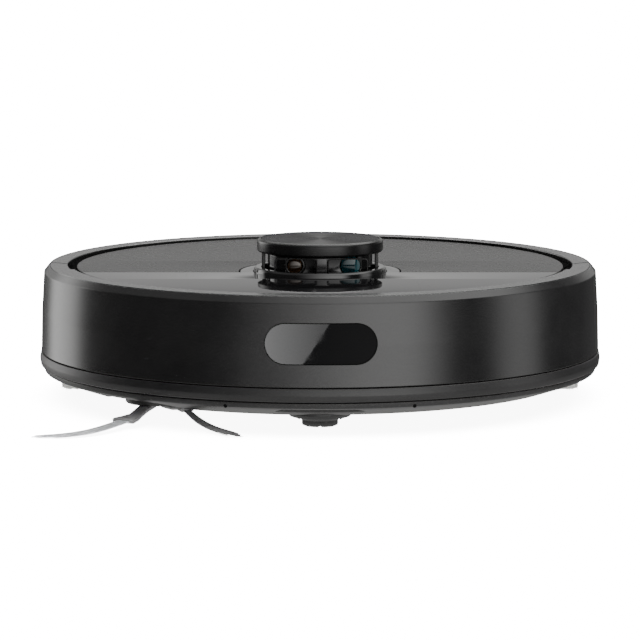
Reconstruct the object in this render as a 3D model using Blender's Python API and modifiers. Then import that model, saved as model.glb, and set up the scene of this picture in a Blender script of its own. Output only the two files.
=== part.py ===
"""Robot vacuum cleaner with a LIDAR turret, a flip-up lid and a wet mop plate.

+Z is up and -Y is the front, where the bumper is. The origin is on the floor, under the
middle of the body. Lengths are written in millimetres, and the helpers turn them into metres.
"""
import math

import bmesh
import bpy
from mathutils import Matrix, Vector

MM = 0.001
GAP = 0.3                      # clearance between neighbouring pieces
BODY_STEPS = 56                # facets round the body, and round the turret
TURRET_STEPS = 30

# Outer body
BODY_R = 174.0                 # bumper and rear shell at their lower edge
SKIRT_R = 175.0
RIM_R = 168.6                  # outer edge of the flat top rim
FRONT_RIM_IN_R = 154.5
REAR_RIM_IN_R = 157.4
RIM_Z = 82.5
SHELL_BOTTOM_Z = 29.4
WALL = 2.6
FLOOR_Z = 10.0                 # underside of the chassis
FLOOR_TOP_Z = 13.0
TUB_R = 152.0                  # round inner wall that carries the deck
DECK_Z = 72.5                  # inner deck under the lid
DECK_BOTTOM_Z = 70.0
LEDGE_Z = 77.0                 # ring on the deck that the covers rest above
BUMPER_TRAVEL = 2.0
SEAM_GAP = BUMPER_TRAVEL + 0.2
SEAM_INNER = (140.0, -14.7)    # the side seam runs outwards and backwards
SEAM_OUTER = (200.0, 16.5)
RIM_STEP_Y = -35.0             # behind this line the rim is narrower

# Top covers
COVER_R = 151.5
COVER_Z = 81.2
LID_FRONT_Y = -40.4
PANEL_BACK_Y = -41.3
LIDAR = (0.0, -33.0)
LIDAR_ISLAND_R = 49.1
LID_AXIS_Y = LID_FRONT_Y + 1.8
LID_AXIS_Z = 79.4
HINGE_X = 100.0

# Turret
CAP_R = 38.8
CAP_BOTTOM_Z = 93.6
CAP_TOP_Z = 101.5
HEAD_R = 32.2
LENS_EDGE_R = 33.2             # the lenses end here, inside the cap's posts
BELT_Z = 61.5
MOTOR_AT = (-60.0, -72.0)
LENSES = {"emitter": (-15.3, 4.6, -60.4), "receiver": (18.5, 6.2, -58.6)}
LENS_Z = 87.0

# Running gear
WHEEL_R = 34.0
WHEEL_X = (106.0, 128.0)
ARM_X = (92.0, 103.5)
ARM_PIVOT = (52.0, 40.0)       # y and z of the swing arm's pivot
CASTER = (0.0, -135.0)
CASTER_WHEEL = (-133.0, 10.5)  # y and z of its axle
CASTER_R = 10.5

# Cleaning gear
ROLLER_AXIS = (-30.0, 25.0)
ROLLER_R = 22.0
ROLLER_HALF = 70.0
SIDE_BRUSH = (-97.0, -100.0)
ARM_ROOT_Z = 10.6
BRISTLE_START = 0.35           # share of the way from an arm's tip to the bristles' bend
BRUSH_WELL_R = 35.0            # the arms' roots turn inside this recess
BRUSH_ROOF_R = 37.5            # the recess's roof, which closes it above
BIN_X = 74.0
BIN_Y = (13.0, 94.0)
FAN = (0.0, 121.0)
MOP_R = 163.5
MOP_EAR_X = 134.5
MOP_EAR_Y = 8.0
MOP_FRONT_Y = 62.0

for old in list(bpy.data.objects):
    bpy.data.objects.remove(old)

PARTS = bpy.data.collections.new("robot_vacuum")
CUTTERS = bpy.data.collections.new("robot_vacuum_cutters")
bpy.context.scene.collection.children.link(PARTS)
bpy.context.scene.collection.children.link(CUTTERS)


# ---------------------------------------------------------------- materials

def material(name, colour, roughness, metallic=0.0):
    mat = bpy.data.materials.new(name)
    mat.use_nodes = True
    mat.diffuse_color = (*colour, 1.0)
    shader = mat.node_tree.nodes["Principled BSDF"]
    shader.inputs["Base Color"].default_value = (*colour, 1.0)
    shader.inputs["Roughness"].default_value = roughness
    shader.inputs["Metallic"].default_value = metallic
    return mat


FINISHES = {
    "satin_black": ((0.020, 0.020, 0.021), 0.42, 0.0),
    "gloss_black": ((0.012, 0.012, 0.013), 0.06, 0.0),
    "chassis_black": ((0.014, 0.014, 0.015), 0.60, 0.0),
    "spun_black": ((0.060, 0.060, 0.062), 0.30, 0.9),
    "lens_glass": ((0.010, 0.030, 0.040), 0.04, 0.0),
    "rubber": ((0.022, 0.022, 0.022), 0.85, 0.0),
    "grey_plastic": ((0.30, 0.30, 0.31), 0.50, 0.0),
    "bristle_grey": ((0.50, 0.50, 0.51), 0.55, 0.0),
    "mop_white": ((0.78, 0.78, 0.77), 0.95, 0.0),
    "steel": ((0.62, 0.62, 0.60), 0.30, 1.0),
    "board_green": ((0.020, 0.120, 0.060), 0.45, 0.0),
    "battery_blue": ((0.030, 0.080, 0.260), 0.35, 0.0),
    "smoke_plastic": ((0.070, 0.075, 0.080), 0.20, 0.0),
    "filter_white": ((0.80, 0.80, 0.76), 0.90, 0.0),
    "red_accent": ((0.450, 0.030, 0.020), 0.40, 0.0),
}


def own_material(node, finish):
    colour, roughness, metallic = FINISHES[finish]
    return material(node + "_" + finish, colour, roughness, metallic)


# ---------------------------------------------------------------- helpers

def add_object(name, data, finish=None, origin=(0, 0, 0)):
    """A cutter when finish is None, otherwise a part."""
    obj = bpy.data.objects.new(name, data)
    obj.location = Vector(origin) * MM
    if finish is None:
        CUTTERS.objects.link(obj)
        obj.hide_render = True
        obj.display_type = "WIRE"
    else:
        PARTS.objects.link(obj)
        data.materials.append(own_material(name, finish))
    return obj


def from_bmesh(name, bm, finish, origin):
    bmesh.ops.translate(bm, verts=bm.verts, vec=-Vector(origin))
    bmesh.ops.scale(bm, verts=bm.verts, vec=(MM, MM, MM))
    mesh = bpy.data.meshes.new(name)
    bm.to_mesh(mesh)
    bm.free()
    return add_object(name, mesh, finish, origin)


def block(name, low, high, finish=None, origin=(0, 0, 0), turn=0.0):
    """A box between two corners, turned about +Z round its own origin."""
    bm = bmesh.new()
    bmesh.ops.create_cube(bm, size=1.0)
    size = [b - a for a, b in zip(low, high)]
    middle = [(a + b) / 2 for a, b in zip(low, high)]
    bmesh.ops.scale(bm, verts=bm.verts, vec=size)
    bmesh.ops.translate(bm, verts=bm.verts, vec=middle)
    obj = from_bmesh(name, bm, finish, origin)
    obj.rotation_euler.z = turn
    return obj


def rod(name, radius, start, end, finish=None, origin=(0, 0, 0), segments=24, end_radius=None):
    """A straight cylinder or cone from start to end."""
    start, end = Vector(start), Vector(end)
    bm = bmesh.new()
    bmesh.ops.create_cone(bm, cap_ends=True, segments=segments, radius1=radius,
                          radius2=radius if end_radius is None else end_radius,
                          depth=(end - start).length)
    aim = (end - start).to_track_quat("Z", "Y").to_matrix()
    bmesh.ops.rotate(bm, verts=bm.verts, cent=(0, 0, 0), matrix=aim)
    bmesh.ops.translate(bm, verts=bm.verts, vec=(start + end) / 2)
    obj = from_bmesh(name, bm, finish, origin)
    smooth(obj)
    return obj


def turned(name, profile, finish=None, at=(0, 0, 0), axis="Z", segments=BODY_STEPS):
    """Spin a profile of (radius, height) points. It closes on itself, or on the axis."""
    on_axis = profile[0][0] == 0 and profile[-1][0] == 0
    loop = list(zip(profile, profile[1:] + profile[:1]))
    if sum(a[0] * b[1] - b[0] * a[1] for a, b in loop) > 0:
        profile = profile[::-1]
    mesh = bpy.data.meshes.new(name)
    edges = [(i, i + 1) for i in range(len(profile) - 1)]
    if not on_axis:
        edges.append((len(profile) - 1, 0))
    mesh.from_pydata([(r * MM, 0, h * MM) for r, h in profile], edges, [])
    obj = add_object(name, mesh, finish, at)
    if axis == "X":
        obj.rotation_euler.y = math.pi / 2
    screw = obj.modifiers.new("spin", "SCREW")
    screw.steps = screw.render_steps = segments
    screw.use_merge_vertices = True
    screw.merge_threshold = 0.00002
    screw.use_smooth_shade = False
    return obj


def tube(name, points, radii, finish, origin=(0, 0, 0)):
    """A tapering round bar through points."""
    curve = bpy.data.curves.new(name, "CURVE")
    curve.dimensions = "3D"
    curve.bevel_depth = MM
    curve.bevel_resolution = 1
    curve.use_fill_caps = True
    line = curve.splines.new("POLY")
    line.points.add(len(points) - 1)
    for point, place, radius in zip(line.points, points, radii):
        point.co = (*((Vector(place) - Vector(origin)) * MM), 1)
        point.radius = radius
    return add_object(name, curve, finish, origin)


def flat(name, outlines, z_low, z_high, finish=None, at=(0, 0, 0), axis="Z"):
    """Flat outlines, the later ones holes in the first, given thickness along the axis."""
    curve = bpy.data.curves.new(name, "CURVE")
    curve.dimensions = "2D"
    curve.fill_mode = "BOTH"
    curve.extrude = (z_high - z_low) / 2 * MM
    for outline in outlines:
        line = curve.splines.new("POLY")
        line.points.add(len(outline) - 1)
        for point, (x, y) in zip(line.points, outline):
            point.co = (x * MM, y * MM, 0, 1)
        line.use_cyclic_u = True
    guide = bpy.data.objects.new(name + "_outline", curve)
    CUTTERS.objects.link(guide)
    bpy.context.view_layer.update()
    mesh = bpy.data.meshes.new_from_object(guide.evaluated_get(bpy.context.evaluated_depsgraph_get()))
    bpy.data.objects.remove(guide)
    bpy.data.curves.remove(curve)
    bm = bmesh.new()
    bm.from_mesh(mesh)
    bmesh.ops.remove_doubles(bm, verts=bm.verts, dist=0.00001)
    bmesh.ops.translate(bm, verts=bm.verts, vec=(0, 0, (z_low + z_high) / 2 * MM))
    bm.to_mesh(mesh)
    bm.free()
    mesh.name = name
    mesh.materials.clear()
    obj = add_object(name, mesh, finish, at)
    if axis == "X":
        obj.rotation_euler = (math.pi / 2, 0, math.pi / 2)
    return obj


def arc(radius, start, end, steps, centre=(0, 0)):
    """Points on an arc, angles in degrees, both ends included."""
    angles = [math.radians(start + (end - start) * i / steps) for i in range(steps + 1)]
    return [(centre[0] + radius * math.cos(a), centre[1] + radius * math.sin(a)) for a in angles]


def boolean(target, other, operation):
    step = target.modifiers.new(operation.lower(), "BOOLEAN")
    step.operation = operation
    step.solver = "EXACT"
    step.object = other
    return target


def cut(target, *cutters):
    for cutter in cutters:
        boolean(target, cutter, "DIFFERENCE")
    return target


def join(target, *extras):
    for extra in extras:
        boolean(target, extra, "UNION")
    return target


def soften(obj, width, segments=1):
    bevel = obj.modifiers.new("soften", "BEVEL")
    bevel.width = width * MM
    bevel.segments = segments
    bevel.limit_method = "ANGLE"
    bevel.angle_limit = math.radians(40)
    return obj


def smooth(obj):
    obj.data.shade_smooth()
    obj.data.set_sharp_from_angle(angle=math.radians(35))
    return obj


def pivot(name, place, *children):
    """An empty on a joint's axis that carries its children."""
    empty = bpy.data.objects.new(name, None)
    empty.location = Vector(place) * MM
    PARTS.objects.link(empty)
    for child in children:
        child.parent = empty
        child.matrix_parent_inverse = Matrix.Translation(empty.location).inverted()
    return empty


# ---------------------------------------------------------------- outer shells

def shell_profile(rim_in_r, lip_z):
    """Wall with a chamfer, a flat rim and an inner lip."""
    outer = [(rim_in_r, RIM_Z - 0.2), (RIM_R, RIM_Z), (172.0, 78.3), (173.4, 54.0)]
    outer.append((BODY_R, SHELL_BOTTOM_Z))
    inner = [(BODY_R - WALL, SHELL_BOTTOM_Z), (173.4 - WALL, 54.0), (169.2, 77.0), (166.4, 79.9)]
    lip = [(rim_in_r + 2.5, 79.9), (rim_in_r + 2.5, lip_z), (rim_in_r, lip_z)]
    return outer + inner + lip


def seam_cutter(name, keep_front):
    """Everything on one side of the side seam, half the seam gap away from it."""
    shift = -SEAM_GAP / 2 if keep_front else SEAM_GAP / 2
    far = 300.0 if keep_front else -300.0
    outer = (SEAM_OUTER[0], SEAM_OUTER[1] + shift)
    inner = (SEAM_INNER[0], SEAM_INNER[1] + shift)
    outline = [outer, (outer[0], far), (-outer[0], far), (-outer[0], outer[1])]
    outline += [(-inner[0], inner[1]), inner]
    return flat(name, [outline], 0.0, 120.0)


def stadium(width, height, centre):
    """Points of a stadium with full round ends in the x-z plane."""
    r = height / 2
    half = width / 2 - r
    right = arc(r, -90, 90, 10, (centre[0] + half, centre[1]))
    left = arc(r, 90, 270, 10, (centre[0] - half, centre[1]))
    return right + left


def front_stadium(name, width, height):
    """A stadium-shaped cutter that runs along Y through the front wall."""
    obj = flat(name, [stadium(width, height, (0.5, 55.0))], 150.0, 190.0)
    obj.rotation_euler = (math.pi / 2, 0, 0)
    return obj


def build_shells():
    front_only = seam_cutter("keep_front", True)
    rear_only = seam_cutter("keep_rear", False)
    bumper = turned("front_bumper", shell_profile(FRONT_RIM_IN_R, 74.0), "satin_black", segments=BODY_STEPS)
    widen = rod("rim_widening", REAR_RIM_IN_R, (0, 0, 70), (0, 0, 90), segments=BODY_STEPS)
    cut(widen, block("rim_widening_front", (-200, -200, 60), (200, RIM_STEP_Y, 100)))
    cut(bumper, front_only, widen, front_stadium("window_opening", 65.8, 24.4))

    band = [(171.6, 28.9), (174.2, 28.9), (SKIRT_R, 24.8), (174.4, 20.9), (171.6, 20.9)]
    skirt = cut(turned("bumper_skirt", band, "chassis_black", segments=BODY_STEPS), front_only)

    lens = turned("front_window", [(171.9, 80.0), (173.2, 80.0), (173.2, 30.0), (171.9, 30.0)],
                  "gloss_black", segments=BODY_STEPS)
    boolean(lens, front_stadium("window_outline", 65.0, 23.6), "INTERSECT")

    rear = turned("rear_shell", shell_profile(REAR_RIM_IN_R, 70.0), "satin_black", segments=BODY_STEPS)
    pockets = [block("contact_pocket", (side * 20 - 6.4, 165, 31.6), (side * 20 + 6.4, 190, 38.4))
               for side in (-1, 1)]
    slots = [block("vent_slot", (x - 1.9, 150, 46), (x + 1.9, 190, 60)) for x in range(-32, 33, 8)]
    cut(rear, rear_only, *pockets, *slots)
    cut(turned("rear_skirt", band, "chassis_black", segments=BODY_STEPS), rear_only)

    for side, name in ((-1, "right"), (1, "left")):
        block("charge_contact_" + name, (side * 20 - 6, 171.6, 32), (side * 20 + 6, 174.6, 38), "steel")
    return bumper, skirt, lens


def build_bumper_gear(bumper, skirt, lens):
    sensor = soften(block("sensor_module", (-28, -166, 45), (28, -155.5, 65), "chassis_black"), 1.0)
    pivot("bumper_slide", (0, 0, 55), bumper, skirt, lens, sensor)
    for side, name in ((-1, "right"), (1, "left")):
        points = [(side * 92, -125.5, 40), (side * 97, -129, 40), (side * 92, -133, 40),
                  (side * 88, -137, 40), (side * 86, -142, 40)]
        tube("bumper_spring_" + name, points, [0.9] * 5, "steel")


# ---------------------------------------------------------------- chassis

def build_chassis():
    profile = [(0, FLOOR_TOP_Z), (TUB_R, FLOOR_TOP_Z), (163.0, 17.2), (166.0, 20.2), (172.6, 20.2),
               (172.0, 17.0), (168.0, 15.4), (153.0, 10.4), (150.0, FLOOR_Z), (0, FLOOR_Z)]
    base = turned("chassis_base", profile, "chassis_black", segments=BODY_STEPS)
    brush_roof = rod("brush_well_roof", BRUSH_ROOF_R, (*SIDE_BRUSH, 12.5), (*SIDE_BRUSH, 17.5), segments=48)
    inside_lip = rod("inside_lip", 159.0, (0, 0, 10), (0, 0, 20), segments=BODY_STEPS)
    join(base, boolean(brush_roof, inside_lip, "INTERSECT"))
    wells = [block("wheel_well", (min(a, b), -38, 0), (max(a, b), 60, 40))
             for a, b in ((90, 131), (-90, -131))]
    mouth = block("brush_mouth", (-76, -54, 0), (76, -6, 40))
    hatch = block("battery_hatch", (-40, -113, 0), (40, -61, 40))
    caster = rod("caster_hole", 19.5, (*CASTER, 0), (*CASTER, 40), segments=32)
    well = rod("brush_well", BRUSH_WELL_R, (*SIDE_BRUSH, 0), (*SIDE_BRUSH, 14.5), segments=48)
    shaft = rod("brush_shaft_hole", 4.0, (*SIDE_BRUSH, 0), (*SIDE_BRUSH, 40), segments=16)
    cut(base, *wells, mouth, hatch, caster, well, shaft)

    wall = [(TUB_R, FLOOR_TOP_Z + GAP), (TUB_R, DECK_BOTTOM_Z - GAP),
            (TUB_R - WALL, DECK_BOTTOM_Z - GAP), (TUB_R - WALL, FLOOR_TOP_Z + GAP)]
    tub = turned("tub_wall", wall, "chassis_black", segments=BODY_STEPS)
    cut(tub, rod("caster_gap", 19.5, (*CASTER, 10), (*CASTER, 25), segments=32),
        rod("brush_roof_gap", BRUSH_ROOF_R + GAP, (*SIDE_BRUSH, 10), (*SIDE_BRUSH, 17.5 + GAP), segments=48))
    deck = [(0, DECK_Z), (144.0, DECK_Z), (144.0, LEDGE_Z), (147.0, LEDGE_Z), (147.0, DECK_Z),
            (TUB_R, DECK_Z), (TUB_R, DECK_BOTTOM_Z), (0, DECK_BOTTOM_Z)]
    upper = turned("upper_chassis", deck, "chassis_black", segments=BODY_STEPS)
    bay = block("bin_bay", (-BIN_X - 1.6, BIN_Y[0] - 1.6, 60), (BIN_X + 1.6, BIN_Y[1] + 1.6, 90))
    turret = rod("turret_hole", 43.0, (*LIDAR, 60), (*LIDAR, 90), segments=TURRET_STEPS)
    button = rod("button_hole", 6.4, (104, 78, 60), (104, 78, 90), segments=24)
    cut(upper, bay, turret, button)
    rod("power_button", 6.0, (104, 78, 70.6), (104, 78, 76.0), "grey_plastic", (104, 78, 73))


def build_covers():
    panel = rod("front_panel", COVER_R, (0, 0, 79.0), (0, 0, COVER_Z), "gloss_black", segments=BODY_STEPS)
    cut(panel, block("panel_back", (-200, PANEL_BACK_Y, 70), (200, 200, 90)))
    island = rod("turret_island", LIDAR_ISLAND_R, (*LIDAR, 79.0), (*LIDAR, COVER_Z), segments=TURRET_STEPS)
    join(panel, island)
    cut(panel, rod("collar_hole", 41.2, (*LIDAR, 70), (*LIDAR, 90), segments=TURRET_STEPS))

    lid = rod("rear_lid", COVER_R, (0, 0, 78.0), (0, 0, COVER_Z), "satin_black",
              (0, LID_AXIS_Y, LID_AXIS_Z), segments=BODY_STEPS)
    cut(lid, block("lid_front", (-200, -200, 70), (200, LID_FRONT_Y, 90)))
    cut(lid, rod("lid_notch", LIDAR_ISLAND_R + 0.8, (*LIDAR, 70), (*LIDAR, 90), segments=TURRET_STEPS))
    for side, name in ((-1, "right"), (1, "left")):
        x = side * HINGE_X
        cut(lid, block("hinge_pocket", (x - 3.4, -41, 77), (x + 3.4, LID_AXIS_Y + 1.4, 80.7)))
        cut(lid, rod("hinge_socket", 1.0, (x - 7, LID_AXIS_Y, LID_AXIS_Z), (x + 7, LID_AXIS_Y, LID_AXIS_Z),
                     segments=12))
        post = block("lid_hinge_" + name, (x - 3, LID_AXIS_Y - 1, DECK_Z + GAP),
                     (x + 3, LID_AXIS_Y + 1, LID_AXIS_Z), "steel", (x, LID_AXIS_Y, LID_AXIS_Z))
        join(post, rod("hinge_head", 1.05, (x - 3, LID_AXIS_Y, LID_AXIS_Z), (x + 3, LID_AXIS_Y, LID_AXIS_Z),
                       segments=12))
        join(post, rod("hinge_pin", 0.7, (x - 6.5, LID_AXIS_Y, LID_AXIS_Z), (x + 6.5, LID_AXIS_Y, LID_AXIS_Z),
                       segments=12))
        join(post, block("hinge_foot", (x - 6, LID_AXIS_Y - 1, DECK_Z + GAP), (x + 6, LID_AXIS_Y + 8, 74.0)))


# ---------------------------------------------------------------- turret

def build_turret():
    cup = [(36.2, 84.0), (40.5, 84.0), (40.5, 76.0), (42.3, 75.0), (42.3, 55.0), (7.0, 55.0), (7.0, 57.5),
           (39.3, 57.5), (39.3, 74.0), (36.2, 76.5)]
    base = turned("lidar_base", cup, "gloss_black", (*LIDAR, 0), segments=TURRET_STEPS)
    aim = Vector(MOTOR_AT) - Vector(LIDAR)
    slot = block("belt_slot", (20, -33, 59.0), (60, 33, 64.6), turn=math.atan2(aim.y, aim.x))
    slot.location = Vector((*LIDAR, 0)) * MM
    cut(base, slot)

    head = [(0, 93.2), (31.0, 93.2), (HEAD_R, 92.2), (HEAD_R, 74.0), (30.0, 73.0), (30.0, 65.0),
            (33.0, 64.6), (33.0, 63.4), (30.0, 63.0), (30.0, 60.0), (33.0, 59.6), (33.0, 58.6),
            (5.0, 58.6), (5.0, 54.0), (0, 54.0)]
    spinner = turned("lidar_head", head, "gloss_black", (*LIDAR, 0), segments=TURRET_STEPS)
    for name, (x, radius, front_y) in LENSES.items():
        cut(spinner, rod("lens_bore", radius + 0.4, (x, -75, LENS_Z), (x, -52.6, LENS_Z), segments=24))
        lens = rod("lidar_" + name + "_lens", radius, (x, front_y, LENS_Z), (x, -53, LENS_Z), "lens_glass",
                   (*LIDAR, LENS_Z), segments=24)
        sweep = rod("lens_sweep", LENS_EDGE_R, (*LIDAR, LENS_Z - 10), (*LIDAR, LENS_Z + 10), segments=64)
        boolean(lens, sweep, "INTERSECT")

    profile = [(0, 101.2), (36.8, CAP_TOP_Z), (CAP_R, 100.2), (CAP_R, 94.4), (38.0, CAP_BOTTOM_Z),
               (0, CAP_BOTTOM_Z)]
    cap = turned("lidar_cap", profile, "spun_black", (*LIDAR, 0), segments=TURRET_STEPS)
    for turn in (0, 90, 180):
        post = block("cap_post", (33.6, -2.5, 57.9), (35.8, 2.5, 95.0), turn=math.radians(turn))
        post.location = Vector((*LIDAR, 0)) * MM
        join(cap, post)

    rod("lidar_motor", 9.0, (*MOTOR_AT, 40), (*MOTOR_AT, 58.2), "steel")
    turned("lidar_pulley", [(0, 64.2), (7.0, 64.2), (7.0, 63.4), (5.0, 63.0), (5.0, 60.0), (7.0, 59.6),
                            (7.0, 58.7), (0, 58.7)], "grey_plastic", (*MOTOR_AT, 0), segments=24)
    build_belt(aim.length, math.atan2(aim.y, aim.x))


def build_belt(distance, turn):
    """A flat belt round the head's big groove and the motor's small pulley."""
    def racetrack(big, small):
        lean = math.degrees(math.asin((big - small) / distance))
        away = arc(big, 90 - lean, 270 + lean, 16)
        near = arc(small, -90 + lean, 90 - lean, 6, (distance, 0))
        return away + near
    belt = flat("lidar_belt", [racetrack(31.6, 6.6), racetrack(30.3, 5.3)], BELT_Z - 1, BELT_Z + 1, "rubber",
                (*LIDAR, 0))
    belt.rotation_euler.z = turn


# ---------------------------------------------------------------- running gear

def build_wheel(side, name):
    def span(pair):
        return sorted(side * x for x in pair)
    pivot_y, pivot_z = ARM_PIVOT
    axle = (0, WHEEL_R)
    x0, x1 = span(ARM_X)
    middle = side * (WHEEL_X[0] + WHEEL_X[1]) / 2
    arm = block("wheel_arm_" + name, (x0, -14, 20), (x1, 58, 52), "chassis_black", (0, pivot_y, pivot_z))
    join(arm, rod("axle", 4.0, (side * 100, *axle), (side * 127.4, *axle), segments=16))
    cut(arm, rod("pivot_hole", 3.3, (x0 - 1, pivot_y, pivot_z), (x1 + 1, pivot_y, pivot_z), segments=16))
    rod("wheel_pivot_" + name, 3.0, (side * 84, pivot_y, pivot_z), (side * 112, pivot_y, pivot_z), "steel",
        segments=16)
    hub = turned("wheel_hub_" + name, [(4.4, 10.0), (9.0, 10.0), (10.0, 7.0), (26.0, 9.5), (26.0, -9.5),
                                       (10.0, -7.0), (9.0, -10.0), (4.4, -10.0)], "grey_plastic",
                 (middle, *axle), "X", 20)
    tyre = turned("tyre_" + name, [(26.3, 11.0), (33.0, 11.0), (WHEEL_R, 9.8), (WHEEL_R, -9.8), (33.0, -11.0),
                                   (26.3, -11.0)], "rubber", (middle, *axle), "X", 32)
    wheel = pivot("wheel_axis_" + name, (middle, *axle), hub, tyre)
    swing = pivot("wheel_swing_" + name, (0, pivot_y, pivot_z), arm)
    wheel.parent = swing
    wheel.matrix_parent_inverse = Matrix.Translation(swing.location).inverted()


def build_caster():
    at = (*CASTER, 0)
    housing = turned("caster_housing", [(0, 24.0), (19.1, 24.0), (19.1, 9.5), (18.0, 7.5), (16.2, 7.5),
                                        (16.2, 22.6), (0, 22.6)], "chassis_black", at, segments=24)
    cut(housing, rod("swivel_hole", 3.0, (*CASTER, 20), (*CASTER, 30), segments=16))
    fork = turned("caster_fork", [(0, 22.2), (15.8, 22.2), (15.8, 8.0), (13.8, 6.0), (0, 6.0)],
                  "chassis_black", at, segments=24)
    join(fork, rod("swivel_pin", 2.5, (*CASTER, 18), (*CASTER, 25.5), segments=16))
    wheel_y, wheel_z = CASTER_WHEEL
    arch = arc(11.2, 0, 180, 10, CASTER_WHEEL) + [(wheel_y - 11.2, -5), (wheel_y + 11.2, -5)]
    slot = flat("caster_slot", [arch], -11.6, 11.6, axis="X")
    hole = rod("caster_axle_hole", 1.7, (-20, wheel_y, wheel_z), (20, wheel_y, wheel_z), segments=16)
    cut(fork, slot, hole)
    rod("caster_axle", 1.4, (-14.4, wheel_y, wheel_z), (14.4, wheel_y, wheel_z), "steel",
        (0, wheel_y, wheel_z), segments=16)
    outline = [(1.7, 11.2), (8.5, 11.2), (10.2, 9.0), (CASTER_R, 5.0), (CASTER_R, -5.0),
               (10.2, -9.0), (8.5, -11.2), (1.7, -11.2)]
    turned("caster_wheel", outline, "rubber", (0, wheel_y, wheel_z), "X", 24)


# ---------------------------------------------------------------- cleaning gear

def build_roller():
    axis_y, axis_z = ROLLER_AXIS
    housing = block("brush_housing", (-79, -58, 13.3), (79, -2, 51), "chassis_black")
    join(housing, block("brush_duct", (-47, -4, 34.5), (47, BIN_Y[0] - GAP, 49.5)))
    cut(housing, block("brush_chamber", (-76, -55, 0), (76, -5, 48.5)),
        block("duct_passage", (-44, -10, 37), (44, BIN_Y[0] + 5, 47)),
        rod("bearing_hole", 4.0, (-90, axis_y, axis_z), (90, axis_y, axis_z), segments=16))
    fins = 6
    outline = []
    for i in range(fins):
        turn = 360 / fins * i
        outline += arc(10.0, turn + 10, turn + 50, 3)
        outline += arc(ROLLER_R, turn + 57, turn + 63, 1)
    roller = flat("roller_brush", [outline], -ROLLER_HALF, ROLLER_HALF, "rubber", (0, axis_y, axis_z), "X")
    join(roller, rod("roller_shaft", 3.4, (-78.5, axis_y, axis_z), (79.5, axis_y, axis_z), segments=16))
    gearbox = block("roller_gearbox", (80.2, -58, 14), (89, -6, 50), "grey_plastic")
    soften(gearbox, 1.0)
    rod("roller_motor", 11.0, (30, -76, 56), (86, -76, 56), "steel")

    guard = block("brush_guard", (-75.6, -53.6, 8.8), (75.6, -6.4, 12.7), "grey_plastic")
    cut(guard, block("guard_window", (-70.8, -50, 0), (70.8, -10, 20)))


def build_side_brush():
    x, y = SIDE_BRUSH
    hub = rod("side_brush_hub", 17.5, (x, y, 9.2), (x, y, 13.2), "grey_plastic", (x, y, 8), 32, 19.5)
    join(hub, rod("side_brush_shaft", 3.4, (x, y, 9), (x, y, 18), segments=16))
    ends = {"left_arm": ((-119, -137, 4.6), (-139, -158, 1.8), (-160.5, -168, 1.2)),
            "right_arm": ((-80, -125, 10.0), (-67, -150, 2.6), (-48.5, -172, 1.2)),
            "rear_arm": ((-93, -71, 10.0), (-89, -44, 2.6), (-85, -18, 1.2))}
    for arm_name, (tip, bend, end) in ends.items():
        root = (x, y, ARM_ROOT_Z)
        halfway = tuple((r + t) / 2 for r, t in zip(root, tip))
        arm = tube("arm_shape", [root, (*halfway[:2], halfway[2] + 0.5), tip], [2.4, 2.4, 2.2], None)
        join(hub, solid_curve(arm))
        start = tuple(t + BRISTLE_START * (b - t) for t, b in zip(tip, bend))
        middle = tuple((b + e) / 2 for b, e in zip(bend, end))
        tube("bristles_" + arm_name, [start, bend, middle, end], [1.8, 1.6, 1.2, 0.8], "bristle_grey",
             (x, y, 8))
    rod("side_brush_gearbox", 9.5, (x, y, 18.4), (x, y, 46), "grey_plastic")


def solid_curve(guide):
    """Turn a bevelled curve into a closed mesh cutter in the same place."""
    bpy.context.view_layer.update()
    mesh = bpy.data.meshes.new_from_object(guide.evaluated_get(bpy.context.evaluated_depsgraph_get()))
    bm = bmesh.new()
    bm.from_mesh(mesh)
    bmesh.ops.remove_doubles(bm, verts=bm.verts, dist=0.00001)
    bm.to_mesh(mesh)
    bm.free()
    obj = add_object(guide.name + "_solid", mesh)
    obj.matrix_world = guide.matrix_world.copy()
    bpy.data.objects.remove(guide)
    return obj


def build_dust_bin():
    y0, y1 = BIN_Y
    dust = block("dust_bin", (-BIN_X, y0, 14.0), (BIN_X, y1, 69.0), "smoke_plastic")
    cut(dust, block("bin_inside", (-BIN_X + 2, y0 + 2, 16.0), (BIN_X - 2, y1 - 2, 90)),
        block("bin_inlet", (-44, y0 - 5, 37), (44, y0 + 5, 47)),
        block("bin_outlet", (-40, y1 - 5, 30), (40, y1 + 5, 60)))
    soften(block("dust_filter", (-46, y1 - 11, 26), (46, y1 - 2.3, 64), "filter_white"), 0.6)
    lid = block("bin_cover", (-BIN_X, y0, 69.3), (BIN_X, y1, 72.3), "grey_plastic")
    for side in (-1, 1):
        join(lid, block("handle_lug", (side * 45 - 2, 63.5, 72), (side * 45 + 2, 68.5, 76.6)))
        cut(lid, rod("handle_hole", 1.5, (side * 45 - 5, 66, 74.6), (side * 45 + 5, 66, 74.6), segments=12))
    grip = tube("grip_shape", [(-47.4, 66, 74.6), (-42.2, 66, 74.6), (-41.4, 64, 74.6), (-41, 34, 74.6),
                               (-38, 30.5, 74.6), (38, 30.5, 74.6), (41, 34, 74.6), (41.4, 64, 74.6),
                               (42.2, 66, 74.6), (47.4, 66, 74.6)], [1.2] * 10, None)
    solid = solid_curve(grip)
    solid.name = "bin_handle"
    CUTTERS.objects.unlink(solid)
    PARTS.objects.link(solid)
    solid.hide_render = False
    solid.display_type = "TEXTURED"
    solid.data.materials.append(own_material("bin_handle", "red_accent"))
    pivot("bin_handle_axis", (0, 66, 74.6), solid)


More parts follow.
